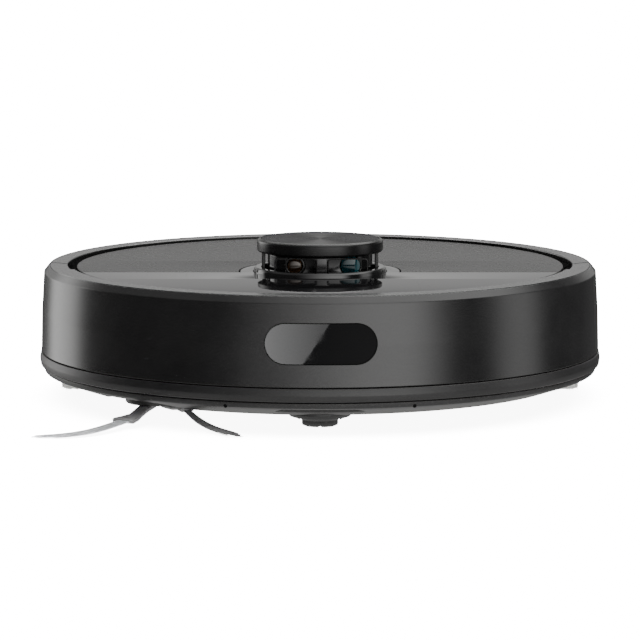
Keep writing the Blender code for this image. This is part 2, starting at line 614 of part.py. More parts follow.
def build_fan():
    x, y = FAN
    housing = turned("fan_housing", [(0, 17.0), (23.0, 17.0), (23.0, 60.0), (25.0, 60.0), (25.0, 15.0),
                                     (0, 15.0)], "chassis_black", (x, y, 0), segments=24)
    cut(housing, block("fan_inlet", (x - 14, 90, 30), (x + 14, 105, 56)),
        block("fan_outlet", (x - 14, 138, 44), (x + 14, 160, 58)))
    blades = 8
    outline = []
    for i in range(blades):
        turn = 360 / blades * i
        outline += arc(8.0, turn, turn + 26, 2)
        outline += arc(20.5, turn + 36, turn + 41, 1)
    wheel = flat("fan_impeller", [outline], 26.0, 44.0, "grey_plastic", (x, y, 0))
    join(wheel, rod("impeller_disc", 20.5, (x, y, 24), (x, y, 26.5), segments=32))


def build_mop():
    def outline(inset):
        r = MOP_R - inset
        low_angle = math.degrees(math.asin((MOP_EAR_Y + inset) / r))
        outer = arc(r, low_angle, 180 - low_angle, 28)
        x = MOP_EAR_X + inset
        front = MOP_FRONT_Y + inset
        return outer + [(-x, MOP_EAR_Y + inset), (-x, front), (x, front), (x, MOP_EAR_Y + inset)]
    plate = flat("mop_plate", [outline(0.0)], 6.3, 9.7, "grey_plastic")
    pad = flat("mop_pad", [outline(1.2)], 0.4, 6.0, "mop_white")
    pivot("mop_slide", (0, 100, 8), plate, pad)


# ---------------------------------------------------------------- power and control

def build_electrics():
    soften(block("battery_pack", (-38, -111, 15.8), (38, -63, 42), "battery_blue"), 3.0)
    block("battery_cover", (-39.6, -112.6, 10.2), (39.6, -61.4, 12.8), "chassis_black")
    soften(block("main_board", (-48, -138, 44.0), (48, -96, 45.6), "board_green"), 0.4)


def main():
    bumper, skirt, lens = build_shells()
    build_bumper_gear(bumper, skirt, lens)
    build_chassis()
    build_covers()
    build_turret()
    build_wheel(-1, "right")
    build_wheel(1, "left")
    build_caster()
    build_roller()
    build_side_brush()
    build_dust_bin()
    build_fan()
    build_mop()
    build_electrics()


main()
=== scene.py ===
"""Robot vacuum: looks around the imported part. Lengths are in millimetres until MM scales them."""

import math
import random

import bmesh
import bpy
import numpy as np
from mathutils import Matrix, Vector


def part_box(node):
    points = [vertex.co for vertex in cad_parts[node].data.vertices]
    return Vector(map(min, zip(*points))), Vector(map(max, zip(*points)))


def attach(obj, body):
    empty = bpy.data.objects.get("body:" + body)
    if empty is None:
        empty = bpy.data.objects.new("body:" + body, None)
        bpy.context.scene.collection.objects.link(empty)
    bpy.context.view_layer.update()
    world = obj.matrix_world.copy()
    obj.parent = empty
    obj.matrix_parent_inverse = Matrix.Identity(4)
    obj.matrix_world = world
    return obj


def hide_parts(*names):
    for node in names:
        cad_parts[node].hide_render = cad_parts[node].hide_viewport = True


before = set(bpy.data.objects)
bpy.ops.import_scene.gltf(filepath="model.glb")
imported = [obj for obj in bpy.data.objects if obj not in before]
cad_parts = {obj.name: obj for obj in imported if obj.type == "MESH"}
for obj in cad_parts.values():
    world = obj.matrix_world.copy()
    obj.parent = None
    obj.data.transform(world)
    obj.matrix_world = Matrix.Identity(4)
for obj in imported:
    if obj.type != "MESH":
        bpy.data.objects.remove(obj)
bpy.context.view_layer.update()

MM = 0.001
FINE = 288          # steps round the body
MEDIUM = 96         # steps round the turret and the wheels
SEED = 11
random.seed(SEED)


def node_box(name):
    """(lowest, highest) corner of a CAD node, in millimetres."""
    lo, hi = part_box(name)
    return np.array(lo) / MM, np.array(hi) / MM


def span(name, axis):
    """Lowest and highest coordinate of a CAD node along one axis, in millimetres."""
    lo, hi = node_box(name)
    return lo[axis], hi[axis]


def middle(name):
    """Centre of a CAD node's box, in millimetres."""
    lo, hi = node_box(name)
    return (lo + hi) / 2


# ---------------------------------------------------------------- meshes

def mesh_object(name, verts, faces, merge=1e-4):
    """A mesh object from millimetre points, with doubles merged and normals outward."""
    mesh = bpy.data.meshes.new(name)
    bm = bmesh.new()
    points = [bm.verts.new(Vector(v) * MM) for v in verts]
    for face in faces:
        try:
            bm.faces.new([points[i] for i in face])
        except ValueError:
            continue
    bmesh.ops.remove_doubles(bm, verts=bm.verts, dist=merge * MM)
    bmesh.ops.recalc_face_normals(bm, faces=bm.faces)
    bm.to_mesh(mesh)
    bm.free()
    obj = bpy.data.objects.new(name, mesh)
    bpy.context.scene.collection.objects.link(obj)
    return obj


def apply(obj):
    """Bakes every modifier of an object into its mesh."""
    graph = bpy.context.evaluated_depsgraph_get()
    graph.update()
    baked = bpy.data.meshes.new_from_object(obj.evaluated_get(graph))
    obj.modifiers.clear()
    old = obj.data
    obj.data = baked
    bpy.data.meshes.remove(old)
    return obj


def cut(obj, *cutters, operation="DIFFERENCE"):
    """Exact Boolean with each cutter, which is then removed."""
    for cutter in cutters:
        step = obj.modifiers.new("cut", "BOOLEAN")
        step.operation = operation
        step.solver = "EXACT"
        step.object = cutter
        apply(obj)
        bpy.data.objects.remove(cutter)
    return obj


def bevel(obj, width, angle=40, segments=2):
    """Rounds an object's sharp edges."""
    step = obj.modifiers.new("edges", "BEVEL")
    step.width = width * MM
    step.segments = segments
    step.limit_method = "ANGLE"
    step.angle_limit = math.radians(angle)
    step.use_clamp_overlap = True
    return apply(obj)


def smooth(obj, angle=35):
    """Smooth shading with edges sharper than the angle kept crisp."""
    mesh = obj.data
    mesh.shade_smooth()
    bm = bmesh.new()
    bm.from_mesh(mesh)
    limit = math.radians(angle)
    for edge in bm.edges:
        edge.smooth = len(edge.link_faces) == 2 and edge.calc_face_angle(0) < limit
    bm.to_mesh(mesh)
    bm.free()
    return obj


def moved(obj, offset=(0, 0, 0), turn=None):
    """Turns (a 3 x 3 or 4 x 4 matrix) and then shifts an object's mesh."""
    if turn is not None:
        obj.data.transform(turn.to_4x4())
    obj.data.transform(Matrix.Translation(Vector(offset) * MM))
    return obj


def joined(name, objects):
    """One object from several that share a material."""
    bm = bmesh.new()
    for obj in objects:
        bm.from_mesh(obj.data)
        bpy.data.objects.remove(obj)
    mesh = bpy.data.meshes.new(name)
    bm.to_mesh(mesh)
    bm.free()
    result = bpy.data.objects.new(name, mesh)
    bpy.context.scene.collection.objects.link(result)
    return result


def rounded(points, radii, segments=4, closed=True):
    """A polygon with its corners turned into arcs of the given radii."""
    result = []
    count = len(points)
    for i, point in enumerate(points):
        radius = radii[i] if hasattr(radii, "__len__") else radii
        if radius <= 0 or (not closed and i in (0, count - 1)):
            result.append(tuple(map(float, point)))
            continue
        corner = np.array(point, float)
        back = np.array(points[i - 1], float) - corner
        ahead = np.array(points[(i + 1) % count], float) - corner
        back_length, ahead_length = np.linalg.norm(back), np.linalg.norm(ahead)
        back, ahead = back / back_length, ahead / ahead_length
        half = math.acos(np.clip(back @ ahead, -1, 1)) / 2
        if half > math.radians(89.5) or half < 1e-3:
            result.append(tuple(corner))
            continue
        reach = min(radius / math.tan(half), 0.48 * back_length, 0.48 * ahead_length)
        radius = reach * math.tan(half)
        bisector = (back + ahead) / np.linalg.norm(back + ahead)
        centre = corner + bisector * radius / math.sin(half)
        first = math.atan2(*(corner + back * reach - centre)[::-1])
        last = math.atan2(*(corner + ahead * reach - centre)[::-1])
        sweep = (last - first + math.pi) % (2 * math.pi) - math.pi
        for k in range(segments + 1):
            angle = first + sweep * k / segments
            result.append(tuple(centre + radius * np.array([math.cos(angle), math.sin(angle)])))
    return result


def revolve(name, profile, steps=FINE, ends=None, centre=(0, 0), closed=True):
    """Turns an (r, z) profile about Z. ends(r) gives the first and last angle at radius r."""
    verts, faces = [], []
    count = len(profile)
    rings = steps if ends is None else steps + 1
    for k in range(rings):
        for r, z in profile:
            if ends is None:
                angle = 2 * math.pi * k / steps
            else:
                first, last = ends(max(r, 1e-6))
                angle = first + (last - first) * k / steps
            verts.append((centre[0] + r * math.cos(angle), centre[1] + r * math.sin(angle), z))
    for k in range(steps):
        here, there = k * count, ((k + 1) % rings) * count
        for i in range(count if closed else count - 1):
            j = (i + 1) % count
            faces.append((here + i, here + j, there + j, there + i))
    if ends is not None and closed:
        faces.append(tuple(range(count)))
        faces.append(tuple(range(steps * count, rings * count))[::-1])
    return mesh_object(name, verts, faces)


def turned(name, profile, centre, axis="Z", steps=MEDIUM, closed=True):
    """A profile turned about an axis through centre. Its z runs along the axis."""
    obj = revolve(name, profile, steps, closed=closed)
    turns = {
        "X": Matrix.Rotation(math.pi / 2, 3, "Y"),
        "Y": Matrix.Rotation(-math.pi / 2, 3, "X"),
        "Z": Matrix.Identity(3),
    }
    return moved(obj, centre, turns[axis])


def rod(name, start, end, radius, edge=0.3, steps=32):
    """A round bar between two points with rounded rims."""
    start, end = Vector(start), Vector(end)
    length = (end - start).length
    profile = rounded([(0, 0), (radius, 0), (radius, length), (0, length)], [0, edge, edge, 0], 3)
    obj = revolve(name, profile, steps, closed=False)
    turn = Vector((0, 0, 1)).rotation_difference(end - start).to_matrix()
    return moved(obj, start, turn)


def box(name, lo, hi, edge=0.5):
    """A box between two corners with rounded edges."""
    verts = [(x, y, z) for x in (lo[0], hi[0]) for y in (lo[1], hi[1]) for z in (lo[2], hi[2])]
    faces = [(0, 1, 3, 2), (4, 6, 7, 5), (0, 4, 5, 1), (2, 3, 7, 6), (0, 2, 6, 4), (1, 5, 7, 3)]
    obj = mesh_object(name, verts, faces)
    return bevel(obj, edge, 40, 3) if edge else obj


def plate(name, outlines, z0, z1, edge=0.3, segments=3):
    """A flat piece from closed outlines (the first outside, the rest holes) with rounded edges."""
    curve = bpy.data.curves.new(name, "CURVE")
    curve.dimensions = "2D"
    curve.fill_mode = "BOTH"
    curve.extrude = ((z1 - z0) / 2 - edge) * MM
    curve.bevel_depth = edge * MM
    curve.bevel_resolution = segments
    curve.offset = -edge * MM
    for outline in outlines:
        spline = curve.splines.new("POLY")
        spline.points.add(len(outline) - 1)
        for point, (x, y) in zip(spline.points, outline):
            point.co = (x * MM, y * MM, 0, 1)
        spline.use_cyclic_u = True
    source = bpy.data.objects.new(name + "_outline", curve)
    bpy.context.scene.collection.objects.link(source)
    graph = bpy.context.evaluated_depsgraph_get()
    graph.update()
    mesh = bpy.data.meshes.new_from_object(source.evaluated_get(graph))
    bpy.data.objects.remove(source)
    bpy.data.curves.remove(curve)
    bm = bmesh.new()
    bm.from_mesh(mesh)
    bmesh.ops.remove_doubles(bm, verts=bm.verts, dist=1e-3 * MM)
    bmesh.ops.recalc_face_normals(bm, faces=bm.faces)
    bm.to_mesh(mesh)
    bm.free()
    mesh.materials.clear()
    obj = bpy.data.objects.new(name, mesh)
    bpy.context.scene.collection.objects.link(obj)
    return moved(obj, (0, 0, (z0 + z1) / 2))


def tube(name, paths, sides=8, caps=True):
    """Tubes along lists of (point, radius), all in one mesh."""
    verts, faces = [], []
    for path in paths:
        points = [Vector(p) for p, _ in path]
        base = len(verts)
        normal = None
        for i, (point, (_, radius)) in enumerate(zip(points, path)):
            ahead = points[min(i + 1, len(points) - 1)] - points[max(i - 1, 0)]
            ahead.normalize()
            if normal is None:
                normal = ahead.orthogonal().normalized()
            normal = (normal - ahead * normal.dot(ahead)).normalized()
            side = ahead.cross(normal)
            for k in range(sides):
                angle = 2 * math.pi * k / sides
                verts.append(point + (normal * math.cos(angle) + side * math.sin(angle)) * radius)
        for i in range(len(points) - 1):
            here, there = base + i * sides, base + (i + 1) * sides
            for k in range(sides):
                j = (k + 1) % sides
                faces.append((here + k, here + j, there + j, there + k))
        if caps:
            faces.append(tuple(range(base, base + sides))[::-1])
            last = base + (len(points) - 1) * sides
            faces.append(tuple(range(last, last + sides)))
    return mesh_object(name, verts, faces)


def arc(centre, radius, first, last, steps):
    """Points on an arc, with its angles in degrees."""
    return [
        (
            centre[0] + radius * math.cos(math.radians(first + (last - first) * k / steps)),
            centre[1] + radius * math.sin(math.radians(first + (last - first) * k / steps)),
        )
        for k in range(steps + 1)
    ]


def circle(centre, radius, steps=MEDIUM):
    return arc(centre, radius, 0, 360, steps)[:-1]


def rectangle(x0, y0, x1, y1, corner=2.0):
    return rounded([(x0, y0), (x1, y0), (x1, y1), (x0, y1)], corner, 5)


def stadium(x, z, width, height, steps=14):
    """A rounded slot's outline round a centre."""
    radius = height / 2
    reach = width / 2 - radius
    return arc((x + reach, z), radius, -90, 90, steps) + arc((x - reach, z), radius, 90, 270, steps)


def prism(name, outline, y0, y1):
    """An (x, z) outline drawn out along Y, as a cutter."""
    count = len(outline)
    verts = [(x, y0, z) for x, z in outline] + [(x, y1, z) for x, z in outline]
    faces = [tuple(range(count)), tuple(range(count, 2 * count))[::-1]]
    faces += [(i, (i + 1) % count, (i + 1) % count + count, i + count) for i in range(count)]
    return mesh_object(name, verts, faces)


# ---------------------------------------------------------------- finishes

class Nodes:
    """A short way to build a node tree round one Principled shader."""

    def __init__(self, name):
        self.material = bpy.data.materials.new(name)
        self.material.use_nodes = True
        self.tree = self.material.node_tree
        self.shader = self.tree.nodes["Principled BSDF"]
        place = self.tree.nodes.new("ShaderNodeTexCoord")
        self.place = place.outputs["Object"]

    def add(self, kind, **settings):
        node = self.tree.nodes.new("ShaderNode" + kind)
        for key, value in settings.items():
            setattr(node, key, value)
        return node

    def link(self, source, target):
        self.tree.links.new(source, target)

    def stretched(self, scale):
        mapping = self.add("Mapping")
        self.link(self.place, mapping.inputs["Vector"])
        mapping.inputs["Scale"].default_value = scale
        return mapping.outputs["Vector"]

    def noise(self, scale, detail=3.0, roughness=0.55, stretch=None):
        """Noise whose features are about 1 / scale metres across."""
        node = self.add("TexNoise")
        self.link(self.stretched(stretch) if stretch else self.place, node.inputs["Vector"])
        node.inputs["Scale"].default_value = scale
        node.inputs["Detail"].default_value = detail
        node.inputs["Roughness"].default_value = roughness
        return node.outputs["Fac"]

    def cells(self, scale, feature="F1", stretch=None):
        node = self.add("TexVoronoi", feature=feature)
        self.link(self.stretched(stretch) if stretch else self.place, node.inputs["Vector"])
        node.inputs["Scale"].default_value = scale
        return node.outputs["Distance"]

    def math(self, operation, first, second=None, clamp=False):
        node = self.add("Math", operation=operation, use_clamp=clamp)
        for socket, value in zip(node.inputs, (first, second)):
            if isinstance(value, (int, float)):
                socket.default_value = value
            elif value is not None:
                self.link(value, socket)
        return node.outputs[0]

    def remap(self, value, from_low, from_high, to_low, to_high):
        node = self.add("MapRange")
        self.link(value, node.inputs["Value"])
        for name, number in zip(("From Min", "From Max", "To Min", "To Max"),
                                (from_low, from_high, to_low, to_high)):
            node.inputs[name].default_value = number
        return node.outputs["Result"]

    def mix(self, amount, first, second):
        """Colour mix; each colour is a tuple or a socket."""
        node = self.add("Mix", data_type="RGBA")
        for socket, value in zip((node.inputs[0], node.inputs[6], node.inputs[7]),
                                 (amount, first, second)):
            if isinstance(value, (tuple, list)):
                socket.default_value = (*value[:3], 1.0)
            elif isinstance(value, (int, float)):
                socket.default_value = value
            else:
                self.link(value, socket)
        return node.outputs[2]

    def colour(self, source):
        self.link(source, self.shader.inputs["Base Color"])

    def roughness(self, source):
        self.link(source, self.shader.inputs["Roughness"])

    def bump(self, height, strength, distance, under=None):
        node = self.add("Bump")
        node.inputs["Strength"].default_value = strength
        node.inputs["Distance"].default_value = distance * MM
        self.link(height, node.inputs["Height"])
        if under is not None:
            self.link(under, node.inputs["Normal"])
        self.link(node.outputs["Normal"], self.shader.inputs["Normal"])
        return node.outputs["Normal"]

    def fixed(self, **values):
        for key, value in values.items():
            self.shader.inputs[key.replace("_", " ")].default_value = value


def moulded(name, base, light, rough, grain, height, specular=0.5, dust=0.0, worn=0.04):
    """Moulded plastic: cloudy colour, spark-eroded grain, faint rub marks and settled dust."""
    n = Nodes(name)
    cloud = n.noise(38, 4, 0.6)
    fine = n.noise(grain, 2, 0.5)
    rub = n.noise(160, 3, 0.65, (1.0, 1.0, 6.0))
    tone = n.mix(n.remap(cloud, 0.35, 0.65, 0.0, 1.0), base, light)
    if dust > 0:
        speck = n.noise(900, 3, 0.7)
        settled = n.math("MULTIPLY", n.remap(speck, 0.56, 0.74, 0.0, 1.0), dust)
        tone = n.mix(settled, tone, (0.42, 0.41, 0.39))
    n.colour(tone)
    swing = n.math("ADD", n.math("MULTIPLY", cloud, worn), n.math("MULTIPLY", rub, worn * 1.5))
    n.roughness(n.math("ADD", swing, rough - worn * 1.25, clamp=True))
    n.bump(fine, 0.35, height)
    n.fixed(Specular_IOR_Level=specular)
    return n.material


def gloss(name, base, light, rough, coat=0.0, specular=0.5, waviness=0.02):
    """Glossy plastic: almost even, with hairline scratches, fingerprints and slight orange peel."""
    n = Nodes(name)
    cloud = n.noise(22, 3, 0.5)
    hair = n.noise(420, 2, 0.6, (1.0, 0.03, 0.03))
    cross = n.noise(380, 2, 0.6, (0.03, 1.0, 0.03))
    peel = n.noise(260, 1, 0.4)
    smear = n.noise(55, 4, 0.65, (1.0, 2.2, 1.0))
    n.colour(n.mix(n.remap(cloud, 0.35, 0.65, 0.0, 1.0), base, light))
    scratch = n.math("MAXIMUM", n.remap(hair, 0.66, 0.72, 0.0, 1.0), n.remap(cross, 0.68, 0.74, 0.0, 1.0))
    haze = n.remap(smear, 0.5, 0.75, 0.0, 0.035)
    dull = n.math("ADD", n.math("MULTIPLY", scratch, 0.10), haze)
    n.roughness(n.math("ADD", dull, rough, clamp=True))
    first = n.bump(peel, 0.12, waviness)
    n.bump(scratch, 0.10, 0.004, first)
    n.fixed(Specular_IOR_Level=specular, Coat_Weight=coat, Coat_Roughness=0.03)
    return n.material


def spun_metal(name, base, light, rough, anisotropic=0.88, rings=1900):
    """Metal turned on a lathe: fine rings, with a highlight stretched across them."""
    n = Nodes(name)
    split = n.add("SeparateXYZ")
    n.link(n.place, split.inputs[0])
    centre = middle("lidar_cap") * MM
    dx = n.math("SUBTRACT", split.outputs[0], float(centre[0]))
    dy = n.math("SUBTRACT", split.outputs[1], float(centre[1]))
    radius = n.math("SQRT", n.math("ADD", n.math("MULTIPLY", dx, dx), n.math("MULTIPLY", dy, dy)))
    line = n.add("CombineXYZ")
    n.link(radius, line.inputs[0])
    ring = n.add("TexNoise")
    n.link(line.outputs[0], ring.inputs["Vector"])
    ring.inputs["Scale"].default_value = rings
    ring.inputs["Detail"].default_value = 4
    cloud = n.noise(45, 3)
    tone = n.mix(n.remap(ring.outputs["Fac"], 0.3, 0.7, 0.0, 1.0), base, light)
    n.colour(n.mix(n.remap(cloud, 0.3, 0.7, 0.0, 0.25), tone, light))
    n.roughness(n.remap(ring.outputs["Fac"], 0.3, 0.7, rough - 0.05, rough + 0.07))
    n.bump(ring.outputs["Fac"], 0.3, 0.012)
    tangent = n.add("Tangent", direction_type="RADIAL", axis="Z")
    n.link(tangent.outputs[0], n.shader.inputs["Tangent"])
    n.fixed(Metallic=1.0, Anisotropic=anisotropic, Specular_Tint=(0.5, 0.5, 0.5, 1.0))
    return n.material


def brushed_metal(name, base, light, rough, stretch):
    """Drawn or stamped metal with long fine scratches."""
    n = Nodes(name)
    streak = n.noise(900, 4, 0.7, stretch)
    cloud = n.noise(60, 4)
    tone = n.mix(n.remap(streak, 0.3, 0.7, 0.0, 1.0), base, light)
    n.colour(n.mix(n.remap(cloud, 0.55, 0.8, 0.0, 0.3), tone, tuple(0.5 * c for c in base)))
    n.roughness(n.remap(streak, 0.3, 0.7, rough - 0.06, rough + 0.12))
    n.bump(streak, 0.3, 0.02)
    n.fixed(Metallic=1.0)
    return n.material


def rubber(name, base, light, rough=0.8, dust=0.10):
    """Rubber with a dull bloom and dust in its low places."""
    n = Nodes(name)
    cloud = n.noise(70, 5, 0.65)
    grain = n.noise(1800, 2)
    speck = n.noise(600, 4, 0.7)
    tone = n.mix(n.remap(cloud, 0.35, 0.7, 0.0, 1.0), base, light)
    n.colour(n.mix(n.math("MULTIPLY", n.remap(speck, 0.5, 0.75, 0.0, 1.0), dust), tone, (0.35, 0.34, 0.32)))
    n.roughness(n.remap(cloud, 0.3, 0.7, rough - 0.08, min(rough + 0.08, 1.0)))
    n.bump(grain, 0.4, 0.03)
    n.fixed(Specular_IOR_Level=0.35, Sheen_Weight=0.08, Sheen_Roughness=0.5)
    return n.material


def fibre(name, base, light, rough=0.55, through=0.0, sheen=0.2):
    """Nylon or microfibre strands, lighter towards some of their tips."""
    n = Nodes(name)
    cloud = n.noise(240, 4, 0.6)
    fine = n.noise(2600, 3, 0.6)
    n.colour(n.mix(n.remap(cloud, 0.3, 0.7, 0.0, 1.0), base, light))
    n.roughness(n.remap(fine, 0.3, 0.7, rough - 0.08, min(rough + 0.1, 1.0)))
    n.bump(fine, 0.3, 0.02)
    n.fixed(Transmission_Weight=through, Sheen_Weight=sheen, Sheen_Roughness=0.4, IOR=1.5)
    return n.material


def pile_cloth(name, base, light, shade):
    """Looped microfibre: tufts, shaded roots and slightly soiled patches."""
    n = Nodes(name)
    tuft = n.cells(620)
    strand = n.noise(2400, 3, 0.7)
    cloud = n.noise(30, 4, 0.6)
    tone = n.mix(n.remap(tuft, 0.1, 0.75, 0.0, 1.0), light, shade)
    tone = n.mix(n.remap(cloud, 0.45, 0.7, 0.0, 0.6), tone, base)
    n.colour(n.mix(n.remap(strand, 0.3, 0.7, 0.0, 0.4), tone, light))
    n.roughness(n.remap(strand, 0.3, 0.7, 0.85, 1.0))
    height = n.math("ADD", n.math("MULTIPLY", tuft, -1.0), n.math("MULTIPLY", strand, 0.4))
    n.bump(height, 0.9, 0.6)
    n.fixed(Sheen_Weight=0.5, Sheen_Roughness=0.6, Specular_IOR_Level=0.2, Subsurface_Weight=0.05)
    return n.material


def woven_tape(name, base, light):
    """Narrow woven binding, with its weave along both directions."""
    n = Nodes(name)
    warp = n.add("TexWave", wave_type="BANDS", bands_direction="DIAGONAL")
    n.link(n.place, warp.inputs["Vector"])
    warp.inputs["Scale"].default_value = 420
    warp.inputs["Distortion"].default_value = 1.2
    cloud = n.noise(90, 3)
    tone = n.mix(n.remap(warp.outputs["Fac"], 0.0, 1.0, 0.0, 1.0), base, light)
    n.colour(n.mix(n.remap(cloud, 0.4, 0.7, 0.0, 0.4), tone, base))
    n.roughness(n.remap(warp.outputs["Fac"], 0.0, 1.0, 0.75, 0.92))
    n.bump(warp.outputs["Fac"], 0.5, 0.15)
    n.fixed(Sheen_Weight=0.25, Sheen_Roughness=0.5, Specular_IOR_Level=0.25)
    return n.material


def coated_glass(name, deep, edge, rough=0.03, coat=0.35, tint=(1, 1, 1)):
    """A dark coated lens whose base colour turns from one colour in the middle to a lighter one at grazing angles, a
    painted sheen.
    """
    n = Nodes(name)
    facing = n.add("LayerWeight")
    facing.inputs["Blend"].default_value = 0.45
    cloud = n.noise(300, 3)
    # the lighter colour at grazing angles is a painted sheen; the tint itself is the lens's own
    tone = n.mix(facing.outputs["Facing"], deep, edge)
    n.colour(n.mix(n.remap(cloud, 0.4, 0.8, 0.0, 0.08), tone, edge))
    n.roughness(n.remap(cloud, 0.3, 0.8, rough, rough + 0.04))
    n.bump(cloud, 0.05, 0.005)
    n.fixed(Coat_Weight=coat, Coat_Roughness=0.02, Coat_Tint=(*tint, 1.0), Specular_IOR_Level=0.35)
    return n.material


def clear_plastic(name, base, light, rough=0.18, through=0.55):
    """Smoked clear plastic with faint flow lines and a film of dust."""
    n = Nodes(name)
    cloud = n.noise(35, 4, 0.6)
    speck = n.noise(700, 4, 0.7)
    tone = n.mix(n.remap(cloud, 0.3, 0.7, 0.0, 1.0), base, light)
    n.colour(n.mix(n.remap(speck, 0.55, 0.8, 0.0, 0.3), tone, (0.4, 0.39, 0.37)))
    n.roughness(n.remap(cloud, 0.3, 0.7, rough - 0.06, rough + 0.1))
    n.bump(cloud, 0.1, 0.05)
    n.fixed(Transmission_Weight=through, IOR=1.49)
    return n.material


def circuit_board(name):
    """Solder mask over copper traces."""
    n = Nodes(name)
    trace = n.add("TexBrick")
    n.link(n.stretched((1.0, 1.0, 1.0)), trace.inputs["Vector"])
    trace.inputs["Scale"].default_value = 240
    trace.inputs["Mortar Size"].default_value = 0.08
    cloud = n.noise(120, 3)
    tone = n.mix(trace.outputs["Fac"], (0.010, 0.085, 0.040), (0.020, 0.160, 0.075))
    n.colour(n.mix(n.remap(cloud, 0.4, 0.7, 0.0, 0.4), tone, (0.008, 0.060, 0.030)))
    n.roughness(n.remap(cloud, 0.3, 0.7, 0.3, 0.45))
    n.bump(trace.outputs["Fac"], 0.3, 0.05)
    return n.material


def pleated_fleece(name):
    """White filter fleece with narrow pleats, with painted shade in their folds."""
    n = Nodes(name)
    pleat = n.add("TexWave", wave_type="BANDS", bands_direction="X")
    n.link(n.place, pleat.inputs["Vector"])
    pleat.inputs["Scale"].default_value = 95
    fluff = n.noise(1500, 4, 0.7)
    # each pleat's band runs from dark to white: painted shade in the folds
    tone = n.mix(pleat.outputs["Fac"], (0.46, 0.45, 0.42), (0.84, 0.84, 0.80))
    n.colour(n.mix(n.remap(fluff, 0.4, 0.8, 0.0, 0.3), tone, (0.60, 0.58, 0.53)))
    n.roughness(n.remap(fluff, 0.3, 0.7, 0.85, 1.0))
    n.bump(pleat.outputs["Fac"], 0.9, 1.5)
    n.fixed(Sheen_Weight=0.3, Sheen_Roughness=0.6, Specular_IOR_Level=0.2)
    return n.material


SATIN_BLACK = moulded("satin_black", (0.0050, 0.0050, 0.0053), (0.0085, 0.0085, 0.0088), 0.24, 2600, 0.008,
                      specular=0.5)
LID_BLACK = moulded("lid_black", (0.0050, 0.0050, 0.0053), (0.0080, 0.0080, 0.0083), 0.28, 2600, 0.006,
                    specular=0.08)
GLOSS_BLACK = gloss("gloss_black", (0.0040, 0.0040, 0.0043), (0.0060, 0.0060, 0.0064), 0.045)
WINDOW_BLACK = gloss("window_black", (0.0026, 0.0026, 0.0029), (0.0038, 0.0038, 0.0042), 0.015, specular=0.03,
                     waviness=0.004)
HEAD_BLACK = gloss("head_black", (0.0035, 0.0035, 0.0038), (0.0055, 0.0055, 0.0058), 0.12)
CHASSIS_BLACK = moulded("chassis_black", (0.006, 0.006, 0.0063), (0.011, 0.011, 0.0115), 0.50, 1500, 0.05,
                        dust=0.08)
SKIRT_BLACK = moulded("skirt_black", (0.005, 0.005, 0.0053), (0.009, 0.009, 0.0094), 0.42, 1800, 0.03)
SPUN_BLACK = spun_metal("spun_black", (0.012, 0.012, 0.013), (0.030, 0.030, 0.032), 0.24)
CAP_SIDE = moulded("cap_side", (0.004, 0.004, 0.0042), (0.007, 0.007, 0.0072), 0.26, 2400, 0.01,
                   specular=0.28)
GREY_PLASTIC = moulded("grey_plastic", (0.17, 0.17, 0.175), (0.24, 0.24, 0.245), 0.45, 1700, 0.04, dust=0.10)
PALE_GREY = moulded("pale_grey", (0.34, 0.34, 0.345), (0.44, 0.44, 0.445), 0.42, 1700, 0.03)
ARM_GREY = moulded("arm_grey", (0.20, 0.20, 0.203), (0.30, 0.30, 0.304), 0.38, 1700, 0.03)
RED_PLASTIC = moulded("red_accent", (0.42, 0.026, 0.017), (0.50, 0.040, 0.026), 0.38, 2000, 0.02)
RUBBER = rubber("rubber", (0.007, 0.007, 0.007), (0.014, 0.014, 0.014))
BLADE_RUBBER = rubber("blade_rubber", (0.020, 0.022, 0.026), (0.036, 0.038, 0.044), 0.6)
BRISTLE_PALE = fibre("bristle_pale", (0.78, 0.79, 0.81), (0.92, 0.93, 0.95), 0.35, through=0.55)
BRISTLE_DARK = fibre("bristle_dark", (0.15, 0.15, 0.153), (0.26, 0.26, 0.263), 0.45)
ROLLER_BRISTLE = fibre("roller_bristle", (0.020, 0.020, 0.022), (0.050, 0.050, 0.054), 0.5)
MOP_PILE = pile_cloth("mop_pile", (0.70, 0.70, 0.685), (0.88, 0.88, 0.87), (0.42, 0.42, 0.41))
MOP_FIBRE = fibre("mop_fibre", (0.80, 0.80, 0.79), (0.93, 0.93, 0.92), 0.85, sheen=0.5)
MOP_TAPE = woven_tape("mop_tape", (0.55, 0.55, 0.54), (0.74, 0.74, 0.73))
STEEL = brushed_metal("steel", (0.52, 0.52, 0.50), (0.72, 0.72, 0.70), 0.28, (1.0, 1.0, 0.05))
CONTACT_STEEL = brushed_metal("contact_steel", (0.60, 0.58, 0.52), (0.78, 0.76, 0.70), 0.22, (0.05, 1.0, 1.0))
BOARD_GREEN = circuit_board("board_green")
BATTERY_BLUE = gloss("battery_blue", (0.022, 0.060, 0.21), (0.032, 0.085, 0.28), 0.25)
SMOKE_PLASTIC = clear_plastic("smoke_plastic", (0.050, 0.053, 0.058), (0.085, 0.090, 0.096))
FILTER_WHITE = pleated_fleece("filter_white")
EMITTER_GLASS = coated_glass("emitter_glass", (0.008, 0.005, 0.003), (0.09, 0.045, 0.015), tint=(1.0, 0.75, 0.5))
RECEIVER_GLASS = coated_glass("receiver_glass", (0.002, 0.012, 0.016), (0.010, 0.14, 0.17), tint=(0.6, 0.95, 1.0))

FINISH_OF_SLOT = {
    "satin_black": SATIN_BLACK, "gloss_black": GLOSS_BLACK, "chassis_black": CHASSIS_BLACK,
    "spun_black": SPUN_BLACK, "lens_glass": RECEIVER_GLASS, "rubber": RUBBER,
    "grey_plastic": GREY_PLASTIC, "bristle_grey": BRISTLE_DARK, "mop_white": MOP_PILE, "steel": STEEL,
    "board_green": BOARD_GREEN, "battery_blue": BATTERY_BLUE, "smoke_plastic": SMOKE_PLASTIC,
    "filter_white": FILTER_WHITE, "red_accent": RED_PLASTIC,
}


# ---------------------------------------------------------------- placing pieces

